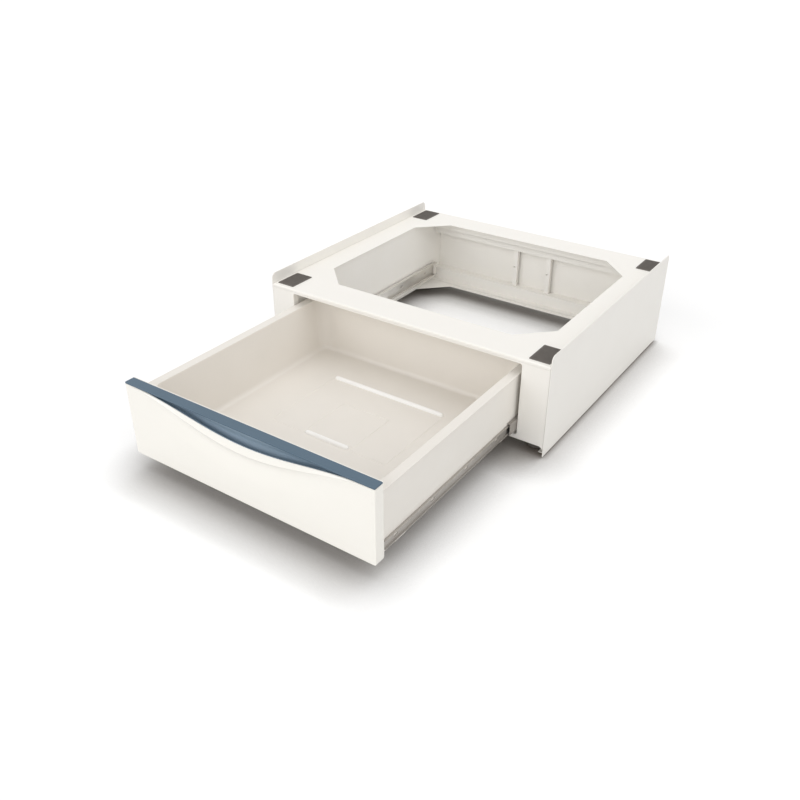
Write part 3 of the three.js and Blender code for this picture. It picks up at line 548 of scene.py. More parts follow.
class Form:
    """A solid put together from closed shells, in millimetres."""

    def __init__(self) -> None:
        """Start with nothing."""
        self.mesh = bmesh.new()

    def shell(self, rings: Iterable[Iterable[Vector]], loop: bool = False) -> Form:
        """Join equal rings of points in order into one closed skin.

        Args:
            rings: The rings, each with the same number of points.
            loop: Whether the last ring joins the first, in place of two flat ends.

        Returns:
            This form, for more shells.
        """
        rows = [[self.mesh.verts.new(point) for point in ring] for ring in rings]
        size = len(rows[0])
        pairs = list(zip(rows, rows[1:])) + ([(rows[-1], rows[0])] if loop else [])
        for before, after in pairs:
            for k in range(size):
                n = (k + 1) % size
                self.mesh.faces.new((before[k], before[n], after[n], after[k]))
        if not loop:
            self.mesh.faces.new(rows[0])
            self.mesh.faces.new(rows[-1])
        return self

    def prism(self, outline: Sequence[Point2], start: float, end: float, axis: Axis) -> Form:
        """Carry an outline along an axis from start to end."""
        return self.shell([axis.point(a, b, at) for a, b in outline] for at in (start, end))

    def turned(self, profile: Sequence[Point2], centre: Point2, steps: int) -> Form:
        """Turn a profile of radius and height round an upright axis.

        Args:
            profile: Radius and height of each point.
            centre: The axis's place in plan.
            steps: How many flats the circle has.

        Returns:
            This form, for more shells.
        """
        circle = arc((0.0, 0.0), 1.0, 0.0, 360.0, steps)[:-1]
        x, y = centre
        return self.shell(
            [Vector((x + r * c, y + r * s, z)) for c, s in circle] for r, z in profile
        )

    def ridge(self, path: Sequence[Point2], base_z: float, width: float, rise: float) -> Form:
        """A half-round ridge along a closed path in plan, its corners mitred.

        Args:
            path: The corners of the path.
            base_z: The height that it stands on.
            width: Its width at the base.
            rise: Its height.

        Returns:
            This form, for more shells.
        """
        corners = [Vector(p) for p in path]
        rings = []
        for k, here in enumerate(corners):
            into = (here - corners[k - 1]).normalized()
            out = (corners[(k + 1) % len(corners)] - here).normalized()
            mitre = Vector((-into.y, into.x)) + Vector((-out.y, out.x))
            mitre = mitre / mitre.dot(Vector((-into.y, into.x)))
            rings.append(self._half_round(here, mitre * width / 2, base_z, rise))
        return self.shell(rings, loop=True)

    def bar(self, centre: Point2, length: float, width: float, base_z: float, rise: float) -> Form:
        """A half-round bar along x with rounded ends.

        Args:
            centre: The middle of the bar in plan.
            length: Its whole length.
            width: Its width at the base.
            base_z: The height that it stands on.
            rise: Its height.

        Returns:
            This form, for more shells.
        """
        rings = []
        for x, share in self._round_ended(length / 2, width / 2):
            here = Vector((centre[0] + x, centre[1]))
            across = Vector((0.0, max(share, 0.02) * width / 2))
            rings.append(self._half_round(here, across, base_z, rise * share))
        return self.shell(rings)

    @staticmethod
    def _round_ended(half: float, radius: float) -> Iterator[tuple[float, float]]:
        """Stations along a bar with round ends.

        Args:
            half: Half the bar's length.
            radius: The radius of its ends.

        Yields:
            The place along the bar, and the share of its full section there.
        """
        turns = [math.radians(angle) for angle in (0, 15, 35, 60, 90)]
        for turn in turns:
            yield -half + radius * (1 - math.cos(turn)), math.sin(turn)
        for turn in reversed(turns):
            yield half - radius * (1 - math.cos(turn)), math.sin(turn)

    @staticmethod
    def _half_round(here: Vector, across: Vector, base_z: float, rise: float) -> list[Vector]:
        """One section of a ridge: half an ellipse over a shallow root.

        Args:
            here: The section's middle in plan.
            across: From the middle to one side.
            base_z: The height that the ridge stands on.
            rise: The section's height.

        Returns:
            The section's points.
        """
        root, steps = 0.4, 8
        points = []
        for k in range(steps + 1):
            turn = math.pi * k / steps
            spot = here + across * math.cos(turn)
            points.append(Vector((spot.x, spot.y, base_z + rise * math.sin(turn))))
        ends = (here - across, here + across)
        return points + [Vector((p.x, p.y, base_z - root)) for p in ends]

    def made(self, name: str, ease_mm: float = 0.0, steps: int = 2) -> Piece:
        """Close the form and turn it into an object in metres.

        Args:
            name: The piece's name.
            ease_mm: How far its sharp edges are eased.
            steps: Chords in an eased edge.

        Returns:
            The object, with its place in its mesh.
        """
        bmesh.ops.remove_doubles(self.mesh, verts=self.mesh.verts, dist=FORM_MERGE_MM)
        bmesh.ops.recalc_face_normals(self.mesh, faces=self.mesh.faces)
        bmesh.ops.scale(self.mesh, vec=(METRES,) * 3, verts=self.mesh.verts)
        return finished(self.mesh, name, ease_mm, steps)


def ease_edges(mesh: Skin, width_mm: float, steps: int, test: EdgeTest) -> None:
    """Round the edges that pass a test.

    Args:
        mesh: The mesh, in metres.
        width_mm: How far the rounding reaches on either side.
        steps: Chords across it.
        test: Which edges are rounded.
    """
    bmesh.ops.bevel(
        mesh,
        geom=[edge for edge in mesh.edges if test(edge)],
        offset=width_mm * METRES,
        offset_type="OFFSET",
        segments=steps,
        profile=0.5,
        affect="EDGES",
        clamp_overlap=False,
    )


def is_sharp(edge: Edge) -> bool:
    """Whether an edge's faces meet at a sharp angle."""
    return edge.is_manifold and edge.calc_face_angle() > math.radians(SHARP_DEG)


def shade(mesh: Skin) -> None:
    """Shade a mesh smoothly between its sharp edges.

    Args:
        mesh: The mesh.
    """
    for edge in mesh.edges:
        edge.smooth = not is_sharp(edge)
    for face in mesh.faces:
        face.smooth = True


def in_scene(name: str, data: bpy.types.ID) -> Piece:
    """Make an object and link it to the scene.

    Args:
        name: The object's name.
        data: Its mesh, lamp or camera.

    Returns:
        The object at the origin.
    """
    made = bpy.data.objects.new(name, data)
    bpy.context.scene.collection.objects.link(made)
    return made


def finished(mesh: Skin, name: str, ease_mm: float, steps: int = 2) -> Piece:
    """Ease a mesh's edges, shade it smoothly between them and make it an object.

    Args:
        mesh: The mesh in metres, which is freed.
        name: The piece's name.
        ease_mm: How far its sharp edges are eased.
        steps: Chords in an eased edge.

    Returns:
        The object at the origin.
    """
    if ease_mm:
        ease_edges(mesh, ease_mm, steps, is_sharp)
    shade(mesh)
    data = bpy.data.meshes.new(name)
    mesh.to_mesh(data)
    mesh.free()
    piece = in_scene(name, data)
    even = piece.modifiers.new("even_faces", "WEIGHTED_NORMAL")
    even.keep_sharp = True
    return piece


def eased_copy(node: Piece, ease_mm: float, bends: Sequence[tuple[float, EdgeTest]] = ()) -> Piece:
    """A merged copy of a CAD node with rounded bends and eased edges.

    Args:
        node: The CAD node's object.
        ease_mm: How far its other sharp edges are eased.
        bends: Wider roundings, each with the test that picks its edges.

    Returns:
        The copy, named for the node.
    """
    mesh = bmesh.new()
    mesh.from_mesh(node.data)
    bmesh.ops.remove_doubles(mesh, verts=mesh.verts, dist=NODE_MERGE_M)
    flat = math.radians(FLAT_DEG)
    bmesh.ops.dissolve_limit(mesh, angle_limit=flat, verts=mesh.verts, edges=mesh.edges)
    for width_mm, test in bends:
        ease_edges(mesh, width_mm, BEND_STEPS, test)
    return finished(mesh, f"{node.name}_eased", ease_mm)


def settle(
    piece: Piece, body: str, slot: str, nodes: Sequence[str] = (), finish: Finish | None = None
) -> Piece:
    """Give a finished piece its body, its finish and the CAD nodes that it stands for.

    Args:
        piece: The piece.
        body: The body that carries it.
        slot: The record's slot that it takes its finish from.
        nodes: The CAD nodes that it replaces.
        finish: A finish of its own, in place of the slot's.

    Returns:
        The same piece.
    """
    if not piece.data.materials:
        piece.data.materials.append((finish or SLOT_FINISHES[slot]).material())
    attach(piece, body)
    if nodes:
        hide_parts(*nodes)
    LOG.info("piece %s on %s in %s", piece.name, body, slot)
    return piece


@dataclass(frozen=True)
class Frame:
    """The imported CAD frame: its nodes by name, and where the two big bodies begin along y."""

    nodes: dict[str, Piece]
    cabinet_y: float
    drawer_y: float

    @classmethod
    def read(cls, loaded: dict[str, Any]) -> Frame:
        """Take the nodes and the front faces' places from the loaded frame.

        Args:
            loaded: What the frame's loader gave.

        Returns:
            The frame, in millimetres.
        """
        cabinet_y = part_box("side_panel_left")[0][1] / METRES
        drawer_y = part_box("drawer_front")[0][1] / METRES
        return cls(loaded["nodes"], cabinet_y, drawer_y)

    def keep_shape(
        self,
        name: str,
        body: str,
        slot: str,
        ease_mm: float,
        bends: Sequence[tuple[float, EdgeTest]] = (),
        finish: Finish | None = None,
    ) -> Piece:
        """Replace a node by its own shape with eased edges.

        Args:
            name: The node's name.
            body: The body that carries it.
            slot: The record's slot that it takes its finish from.
            ease_mm: How far its sharp edges are eased.
            bends: Wider roundings, each with the test that picks its edges.
            finish: A finish of its own, in place of the slot's.

        Returns:
            The piece that stands for the node.
        """
        copy = eased_copy(self.nodes[name], ease_mm, bends)
        return settle(copy, body, slot, [name], finish)


def along_edge(low: Point3, high: Point3) -> EdgeTest:
    """A test for sharp edges that lie in a box.

    Args:
        low: The box's lowest corner, in millimetres.
        high: Its highest corner.

    Returns:
        The test.
    """

    def inside(edge: Edge) -> bool:
        """Whether both ends of a sharp edge lie in the box.

        Args:
            edge: The edge that is tested.

        Returns:
            True for a sharp edge of the box.
        """
        return is_sharp(edge) and all(
            low[k] <= vert.co[k] / METRES <= high[k] for vert in edge.verts for k in range(3)
        )

    return inside


# ---------------------------------------------------------------- repeated small parts


class Shape(Enum):
    """What is set along a row."""

    SCREW = "screw"
    RIVET = "rivet"
    BALL = "ball"
    BAR = "bar"


# A screw's head in shares of its radius: its washer, its flat top, and its two crossed slots.
WASHER_SHARE = 1.35
TOP_SHARE = 0.7
SLOT_WIDTH_SHARE = 0.24
SLOT_LENGTH_SHARE = 1.1
WASHER_MM = 0.8
# How flat a rivet's head is beside a ball.
RIVET_FLATNESS = 0.4
# Flats round a screw's head, and round and up a ball.
HEAD_FLATS = 28
BALL_FLATS, BALL_RINGS = 16, 8


@dataclass(frozen=True)
class Spot:
    """A place in millimetres, and the direction that a small part faces there."""

    place: Point3
    facing: Point3


@dataclass(frozen=True)
class Rows:
    """Rows of one small part, set out and dressed by geometry nodes.

    size is the part's x, y and z in millimetres; a round part takes its diameter from x.
    """

    shape: Shape
    size: Point3
    finish: Finish
    count: int = 1
    step: Point3 = (0.0, 0.0, 0.0)

    def piece(self, name: str, starts: Sequence[Spot]) -> Piece:
        """Make the rows as one plain mesh.

        Args:
            name: The piece's name.
            starts: The first place of each row.

        Returns:
            The baked object.
        """
        host = self._host(starts)
        rows = host.modifiers.new("rows", "NODES")
        rows.node_group = self._tree(f"{name}_rows")
        values = {
            "Row Count": self.count,
            "Row Step": Vector(self.step) * METRES,
            "Finish": self.finish.material(),
            **self._sizes(),
        }
        for item in rows.node_group.interface.items_tree:
            if item.in_out == "INPUT" and item.name in values:
                rows[item.identifier] = values[item.name]
        return baked(host, name)

    def _sizes(self) -> dict[str, Any]:
        """The part's sizes in metres, by the names of the tree's inputs.

        Returns:
            Every size; a shape uses those that it needs.
        """
        radius, height = self.size[0] / 2 * METRES, self.size[2] * METRES
        slot_width, slot_length = SLOT_WIDTH_SHARE * radius, SLOT_LENGTH_SHARE * radius
        return {
            "Size": Vector(self.size) * METRES,
            "Radius": radius,
            "Height": height,
            "Washer Radius": WASHER_SHARE * radius,
            "Top Radius": TOP_SHARE * radius,
            "Slot Along": Vector((slot_length, slot_width, height)),
            "Slot Across": Vector((slot_width, slot_length, height)),
            "Slot Lift": Vector((0.0, 0.0, height)),
        }

    @staticmethod
    def _host(starts: Sequence[Spot]) -> Piece:
        """Loose points that carry the direction which each part faces.

        Args:
            starts: The first place of each row.

        Returns:
            The object that holds them.
        """
        data = bpy.data.meshes.new("row_starts")
        data.from_pydata([Vector(spot.place) * METRES for spot in starts], [], [])
        facing = data.attributes.new("facing", "FLOAT_VECTOR", "POINT")
        for row, spot in zip(facing.data, starts):
            row.vector = spot.facing
        return in_scene("row_starts", data)

    def _tree(self, name: str) -> Tree:
        """Points to rows, rows to parts, then one mesh in one finish.

        Args:
            name: The tree's name.

        Returns:
            The geometry tree, with its named inputs.
        """
        tree = bpy.data.node_groups.new(name, "GeometryNodeTree")
        titles = {
            "Geometry": ("Geometry",),
            "Int": ("Row Count",),
            "Vector": ("Row Step", "Size", "Slot Along", "Slot Across", "Slot Lift"),
            "Float": ("Radius", "Height", "Washer Radius", "Top Radius"),
            "Material": ("Finish",),
        }
        for kind, names in titles.items():
            for title in names:
                tree.interface.new_socket(title, in_out="INPUT", socket_type=f"NodeSocket{kind}")
        tree.interface.new_socket("Geometry", in_out="OUTPUT", socket_type="NodeSocketGeometry")
        given = add_node(tree, "NodeGroupInput").outputs
        run = {"Count": given["Row Count"], "Offset": given["Row Step"]}
        line = add_node(tree, "GeometryNodeMeshLine", links=run).outputs[0]
        spread = {"Points": given["Geometry"], "Instance": line}
        rows = add_node(tree, "GeometryNodeInstanceOnPoints", links=spread).outputs[0]
        places = add_node(tree, "GeometryNodeRealizeInstances", links={0: rows}).outputs[0]
        facing = add_node(
            tree, "GeometryNodeInputNamedAttribute", {"Name": "facing"}, data_type="FLOAT_VECTOR"
        ).outputs["Attribute"]
        turned = add_node(
            tree, "FunctionNodeAlignRotationToVector", links={"Vector": facing}, axis="Z"
        ).outputs[0]
        part = self._part(tree, given)
        setting = {"Points": places, "Instance": part, "Rotation": turned}
        parts = add_node(tree, "GeometryNodeInstanceOnPoints", links=setting).outputs[0]
        solid = add_node(tree, "GeometryNodeRealizeInstances", links={0: parts}).outputs[0]
        coat = {"Geometry": solid, "Material": given["Finish"]}
        dressed = add_node(tree, "GeometryNodeSetMaterial", links=coat).outputs[0]
        add_node(tree, "NodeGroupOutput", links={0: dressed})
        return tree

    def _part(self, tree: Tree, given: Any) -> Socket:
        """The single part that is repeated.

        Args:
            tree: The geometry tree.
            given: The sockets of its inputs, by name.

        Returns:
            The part's geometry: a screw head on its base, and any other round its middle.
        """
        if self.shape is Shape.BAR:
            return add_node(tree, "GeometryNodeMeshCube", links={"Size": given["Size"]}).outputs[0]
        if self.shape is Shape.SCREW:
            return self._screw(tree, given)
        fineness = {"Segments": BALL_FLATS, "Rings": BALL_RINGS}
        radius = {"Radius": given["Radius"]}
        ball = add_node(tree, "GeometryNodeMeshUVSphere", fineness, radius).outputs[0]
        if self.shape is Shape.BALL:
            return ball
        flattened = {"Scale": (1.0, 1.0, RIVET_FLATNESS)}
        return add_node(tree, "GeometryNodeTransform", flattened, {"Geometry": ball}).outputs[0]

    @staticmethod
    def _screw(tree: Tree, given: Any) -> Socket:
        """A washer under a tapered head with a cross recess.

        Args:
            tree: The geometry tree.
            given: The sockets of its inputs, by name.

        Returns:
            The screw's geometry.
        """
        washer = add_node(
            tree,
            "GeometryNodeMeshCylinder",
            {"Vertices": HEAD_FLATS, "Depth": WASHER_MM * METRES},
            {"Radius": given["Washer Radius"]},
        )
        head = add_node(
            tree,
            "GeometryNodeMeshCone",
            {"Vertices": HEAD_FLATS},
            {
                "Radius Top": given["Top Radius"],
                "Radius Bottom": given["Radius"],
                "Depth": given["Height"],
            },
        )
        bars = []
        for way in ("Slot Across", "Slot Along"):
            cube = add_node(tree, "GeometryNodeMeshCube", links={"Size": given[way]}).outputs[0]
            lift = {"Geometry": cube, "Translation": given["Slot Lift"]}
            bars.append(add_node(tree, "GeometryNodeTransform", links=lift).outputs[0])
        recessed = add_node(
            tree,
            "GeometryNodeMeshBoolean",
            links={0: head.outputs["Mesh"], 1: bars[0]},
            operation="DIFFERENCE",
            solver="EXACT",
        )
        tree.links.new(bars[1], recessed.inputs[1])
        both = add_node(tree, "GeometryNodeJoinGeometry", links={0: washer.outputs["Mesh"]})
        tree.links.new(recessed.outputs[0], both.inputs[0])
        return both.outputs[0]


def baked(host: Piece, name: str) -> Piece:
    """Turn a host's evaluated geometry into a plain mesh object, and remove the host.

    Args:
        host: The object with a geometry nodes modifier.
        name: The new piece's name.

    Returns:
        The piece, with no modifier that makes shape.
    """
    graph = bpy.context.evaluated_depsgraph_get()
    data = bpy.data.meshes.new_from_object(host.evaluated_get(graph), depsgraph=graph)
    bpy.data.objects.remove(host)
    data.name = name
    if "facing" in data.attributes:
        data.attributes.remove(data.attributes["facing"])
    mesh = bmesh.new()
    mesh.from_mesh(data)
    shade(mesh)
    mesh.to_mesh(data)
    mesh.free()
    return in_scene(name, data)


# ---------------------------------------------------------------- studio


@dataclass(frozen=True)
class PhotoCamera:
    """The photograph's viewing place, in millimetres of the frame, and its lens in pixels."""

    position: Point3 = (775.12, -1186.71, 836.06)
    target: Point3 = (27.20, -95.54, 38.84)
    roll_deg: float = 0.20
    focal_px: float = 846.49
    centre_px: Point2 = (401.90, 399.38)
    side_px: float = 800.0
    sensor_mm: float = 36.0

    def place(self) -> Piece:
        """Make the scene's camera.

        Returns:
            The camera object.
        """
        data = bpy.data.cameras.new("photo_camera")
        data.sensor_width = self.sensor_mm
        data.lens = self.focal_px / self.side_px * self.sensor_mm
        data.shift_x = 0.5 - self.centre_px[0] / self.side_px
        data.shift_y = self.centre_px[1] / self.side_px - 0.5
        data.clip_start, data.clip_end = 0.02, 60.0
        camera = in_scene("photo_camera", data)
        eye = Vector(self.position) * METRES
        back = (eye - Vector(self.target) * METRES).normalized()
        right = Vector((0, 0, 1)).cross(back).normalized()
        up = back.cross(right)
        turn = math.radians(self.roll_deg)
        rolled_right = right * math.cos(turn) + up * math.sin(turn)
        rolled_up = up * math.cos(turn) - right * math.sin(turn)
        axes = Matrix((rolled_right, rolled_up, back)).transposed().to_4x4()
        camera.matrix_world = Matrix.Translation(eye) @ axes
        bpy.context.scene.camera = camera
        return camera


@dataclass(frozen=True)
class Lamp:
    """A wide, distant lamp: where its light comes from, how strong it is and how wide."""

    name: str
    source: Point3
    strength: float
    spread_deg: float

    def place(self) -> None:
        """Put the lamp in the scene; a wide spread softens its shadows."""
        data = bpy.data.lights.new(self.name, "SUN")
        data.energy = self.strength
        data.angle = math.radians(self.spread_deg)
        lamp = in_scene(self.name, data)
        lamp.rotation_mode = "QUATERNION"
        lamp.rotation_quaternion = Vector(self.source).to_track_quat("Z", "Y")


TOP_LAMP = Lamp("top", (0.05, 0.2, 1.0), 0.88, 60.0)
KEY_LAMP = Lamp("key", (-0.3, -0.9, 0.3), 1.32, 60.0)
FILL_LAMP = Lamp("fill", (0.9, -0.35, 0.5), 0.83, 70.0)


@dataclass
class Studio:
    """A white floor under soft light: an even sky and three wide lamps.

    The top lamp stands a little behind the object, so its shadow falls to the front. The floor
    is painted darker and warmer close to what stands over it, a painted shadow: in a wide band
    in front of a raised piece (contact), and in a thin line where a piece nearly touches (touch).
    """

    floor_half_m: float = 14.0
    floor_seen: float = 1.03
    floor_bounce: float = 0.66
    sky_level: float = 0.5
    contact_lean: Point3 = (0.1, 0.75, 0.65)
    contact_reach_m: float = 0.09
    contact_power: float = 1.3
    touch_reach_m: float = 0.012
    # The warm grey of the painted shadow on the floor.
    contact_colour: str = "#62564a"
    lamps: tuple[Lamp, ...] = (TOP_LAMP, KEY_LAMP, FILL_LAMP)

    def build(self) -> None:
        """Make the floor, the sky and the lamps, and set plain colour management."""
        bpy.context.scene.view_settings.view_transform = "Standard"
        self._sky()
        self._floor()
        for lamp in self.lamps:
            lamp.place()

    def _sky(self) -> None:
        """An even sky that looks white to the camera and in reflections."""
        world = bpy.data.worlds.new("studio_sky")
        world.use_nodes = True
        tree = world.node_tree
        tree.nodes.clear()
        level = self._by_ray(tree, self.sky_level, 1.0)
        glow = add_node(tree, "ShaderNodeBackground", {"Color": (1, 1, 1, 1)}, {"Strength": level})
        add_node(tree, "ShaderNodeOutputWorld", links={"Surface": glow.outputs[0]})
        bpy.context.scene.world = world

    @staticmethod
    def _by_ray(tree: Tree, unseen: float, seen: float) -> Socket:
        """One value for rays that are looked along, and another for those that only carry light.

        Args:
            tree: The world's or the floor's tree.
            unseen: The value for rays that carry light.
            seen: The value for rays from the camera, a mirror or a clear body.

        Returns:
            The value of the ray at hand.
        """
        path = add_node(tree, "ShaderNodeLightPath").outputs
        either = path["Is Camera Ray"]
        for title in ("Is Glossy Ray", "Is Transmission Ray"):
            both = {0: either, 1: path[title]}
            either = add_node(tree, "ShaderNodeMath", links=both, operation="MAXIMUM").outputs[0]
        limits = {"To Min": unseen, "To Max": seen}
        return add_node(tree, "ShaderNodeMapRange", limits, {"Value": either}).outputs[0]

    def _floor(self) -> None:
        """A plain floor, white where nothing shades it, and unseen from below."""
        data = bpy.data.meshes.new("studio_floor")
        half = self.floor_half_m
        corners = [(-half, -half, 0), (half, -half, 0), (half, half, 0), (-half, half, 0)]
        data.from_pydata(corners, [], [(0, 1, 2, 3)])
        material = bpy.data.materials.new("studio_floor_paper")
        material.use_nodes = True
        tree = material.node_tree
        tree.nodes.clear()
        level = self._by_ray(tree, self.floor_bounce, self.floor_seen)
        channels = {name: level for name in ("Red", "Green", "Blue")}
        white = add_node(tree, "ShaderNodeCombineColor", links=channels).outputs[0]
        tint = {"Color": self._shaded(tree, white)}
        paper = add_node(tree, "ShaderNodeBsdfDiffuse", links=tint).outputs[0]
        clear = add_node(tree, "ShaderNodeBsdfTransparent").outputs[0]
        under = add_node(tree, "ShaderNodeNewGeometry").outputs["Backfacing"]
        mixed = add_node(tree, "ShaderNodeMixShader", links={0: under, 1: paper, 2: clear})
        add_node(tree, "ShaderNodeOutputMaterial", links={"Surface": mixed.outputs[0]})
        data.materials.append(material)
        in_scene("studio_floor", data)

    def _shaded(self, tree: Tree, white: Socket) -> Socket:
        """The paper's white, darkened to a warm grey close to what stands over it: a painted
        shadow.

        Args:
            tree: The floor's tree.
            white: The paper's own colour.

        Returns:
            The colour with both shades.
        """
        lean = add_node(
            tree, "ShaderNodeCombineXYZ", dict(zip("XYZ", Vector(self.contact_lean).normalized()))
        ).outputs[0]
        reach = {"Distance": self.contact_reach_m}
        wide = add_node(tree, "ShaderNodeAmbientOcclusion", reach, {"Normal": lean}, samples=8)
        thin = add_node(
            tree, "ShaderNodeAmbientOcclusion", {"Distance": self.touch_reach_m}, samples=8
        )
        power = {1: self.contact_power}
        band = add_node(tree, "ShaderNodeMath", power, {0: wide.outputs["AO"]}, operation="POWER")
        both = {0: band.outputs[0], 1: thin.outputs["AO"]}
        clear = add_node(tree, "ShaderNodeMath", links=both, operation="MULTIPLY")
        least = {0: clear.outputs[0], 1: self._by_ray(tree, 1.0, 0.0)}
        share = add_node(tree, "ShaderNodeMath", links=least, operation="MAXIMUM").outputs[0]
        mix = add_node(
            tree,
            "ShaderNodeMix",
            {MIX_FIRST: linear(self.contact_colour)},
            {0: share, MIX_SECOND: white},
            data_type="RGBA",
        )
        return mix.outputs[MIX_RESULT]


# ---------------------------------------------------------------- cabinet


@dataclass
class CabinetShell:
    """Side panels, deck, front frame and base plate, all in white powder coat."""

    frame: Frame
    half_width: float = 300.0
    depth: float = 543.0
    foot_z: float = 3.0
    top_z: float = 197.0
    corner: float = 10.0
    sheet: float = 1.5
    foot_flange: float = 12.0
    deck_z: float = 177.0
    deck_bend: float = 2.4
    opening_low: Point2 = (-247.0, 29.3)
    opening_high: Point2 = (247.0, 167.6)
    opening_bend: float = 1.3
    ease: float = 0.4
    panel_ease: float = 0.6
    reach: float = 0.1

    def build(self) -> None:
        """Make the side panels, and dress the three pieces between them."""
        for side in Side:
            self._side_panel(side)
        inside = self.half_width - 1.0
        (x0, z0), (x1, z1) = self.opening_low, self.opening_high
        nose = self._near_face((-inside, self.deck_z), (inside, self.deck_z))
        mouth = self._near_face((x0, z0), (x1, z1))
        for name, bends in (
            ("deck", [(self.deck_bend, nose)]),
            ("front_frame", [(self.opening_bend, mouth)]),
            ("base_plate", []),
        ):
            self.frame.keep_shape(name, "cabinet", "cabinet_coat", self.ease, bends)

    def _near_face(self, low: Point2, high: Point2) -> EdgeTest:
        """A test for sharp edges on the cabinet's front face.

        Args:
            low: The lowest x and z of the place.
            high: Its highest x and z.

        Returns:
            The test.
        """
        y, near = self.frame.cabinet_y, self.reach
        (x0, z0), (x1, z1) = low, high
        return along_edge((x0 - near, y - near, z0 - near), (x1 + near, y + near, z1 + near))

    def _side_panel(self, side: Side) -> None:
        """One flat outer sheet with round upper corners and a folded foot.

        Args:
            side: Left or right.
        """
        y0, y1 = self.frame.cabinet_y, self.frame.cabinet_y + self.depth
        r, top = self.corner, self.top_z
        outline = [(y0, self.foot_z), (y1, self.foot_z)]
        outline += arc((y1 - r, top - r), r, 0, 90, 12) + arc((y0 + r, top - r), r, 90, 180, 12)
        outer, inner = side.value * self.half_width, side.value * (self.half_width - self.sheet)
        form = Form().prism(outline, inner, outer, Axis.X)
        flange = [(y0 + r, self.foot_z), (y1 - r, self.foot_z)]
        flange += [(y, z + self.sheet) for y, z in reversed(flange)]
        reach = side.value * (self.half_width - self.sheet - self.foot_flange)
        form.prism(flange, reach, inner + side.value * 0.5, Axis.X)
        panel = form.made(f"side_skin_{side.word}", self.panel_ease, 3)
        settle(panel, "cabinet", "cabinet_coat", [f"side_panel_{side.word}"])


@dataclass
class CabinetInside:
    """The inner walls, the back with its rails and straps, and the screws that hold them."""

    frame: Frame
    back_y: float = 543.0
    screw_x: float = 284.0
    screw_columns: int = 5
    screw_low_z: float = 20.0
    screw_high_z: float = 168.0
    screw_mid_z: float = 94.0
    screw_head: Point3 = (7.0, 7.0, 2.2)
    ease: float = 0.35

    def build(self) -> None:
        """Make the inner sheets and the screws of the back panel."""
        names = ["back_panel", "rear_upper_rail", "rear_lower_rail"]
        names += [f"{stem}_{side.word}" for side in Side for stem in ("liner", "back_strap")]
        for name in names:
            self.frame.keep_shape(name, "cabinet", "liner_coat", self.ease)
        self._back_screws()

    def _back_screws(self) -> None:
        """Screws round the edge of the back panel, their heads to the back."""
        y = self.frame.cabinet_y + self.back_y
        step = 2 * self.screw_x / (self.screw_columns - 1)
        rows = Rows(Shape.SCREW, self.screw_head, ZINC_STEEL, self.screw_columns, (step, 0, 0))
        heights = (self.screw_low_z, self.screw_high_z)
        starts = [Spot((-self.screw_x, y, z), (0, 1, 0)) for z in heights]
        settle(rows.piece("back_screws", starts), "cabinet", "zinc_steel")
        ends = Rows(Shape.SCREW, self.screw_head, ZINC_STEEL)
        middles = [
            Spot((side.value * self.screw_x, y, self.screw_mid_z), (0, 1, 0)) for side in Side
        ]
        settle(ends.piece("back_end_screws", middles), "cabinet", "zinc_steel")


@dataclass
class DeckPads:
    """Four rubber pads on the deck, ribbed across against slipping."""

    frame: Frame
    corner: float = 2.0
    rib_height: float = 0.8
    rib_width: float = 1.6
    rib_pitch: float = 3.4
    margin: float = 3.0

    def build(self) -> None:
        """Make each pad's base and its ribs."""
        for end in ("front", "rear"):
            for side in Side:
                self._pad(f"{end}_{side.word}")

    def _pad(self, place: str) -> None:
        """One pad in the box of its node.

        Args:
            place: The ending of the pad's names.
        """
        low, high = (Vector(corner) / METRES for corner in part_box(f"pad_{place}"))
        top = high.z - self.rib_height
        outline = rounded_box((low.x, low.y), (high.x, high.y), self.corner)
        base = Form().prism(outline, low.z, top, Axis.Z).made(f"pad_base_{place}", 0.5)
        settle(base, "cabinet", "dark_rubber", [f"pad_{place}"])
        length = high.x - low.x - 2 * self.margin
        run = high.y - low.y - 2 * self.margin
        count = int(run // self.rib_pitch) + 1
        size = (length, self.rib_width, 2 * self.rib_height)
        first_y = (low.y + high.y) / 2 - (count - 1) * self.rib_pitch / 2
        rows = Rows(Shape.BAR, size, DARK_RUBBER, count, (0, self.rib_pitch, 0))
        start = Spot(((low.x + high.x) / 2, first_y, top), (0, 0, 1))
        ribs = rows.piece(f"pad_ribs_{place}", [start])
        settle(ribs, "cabinet", "dark_rubber")


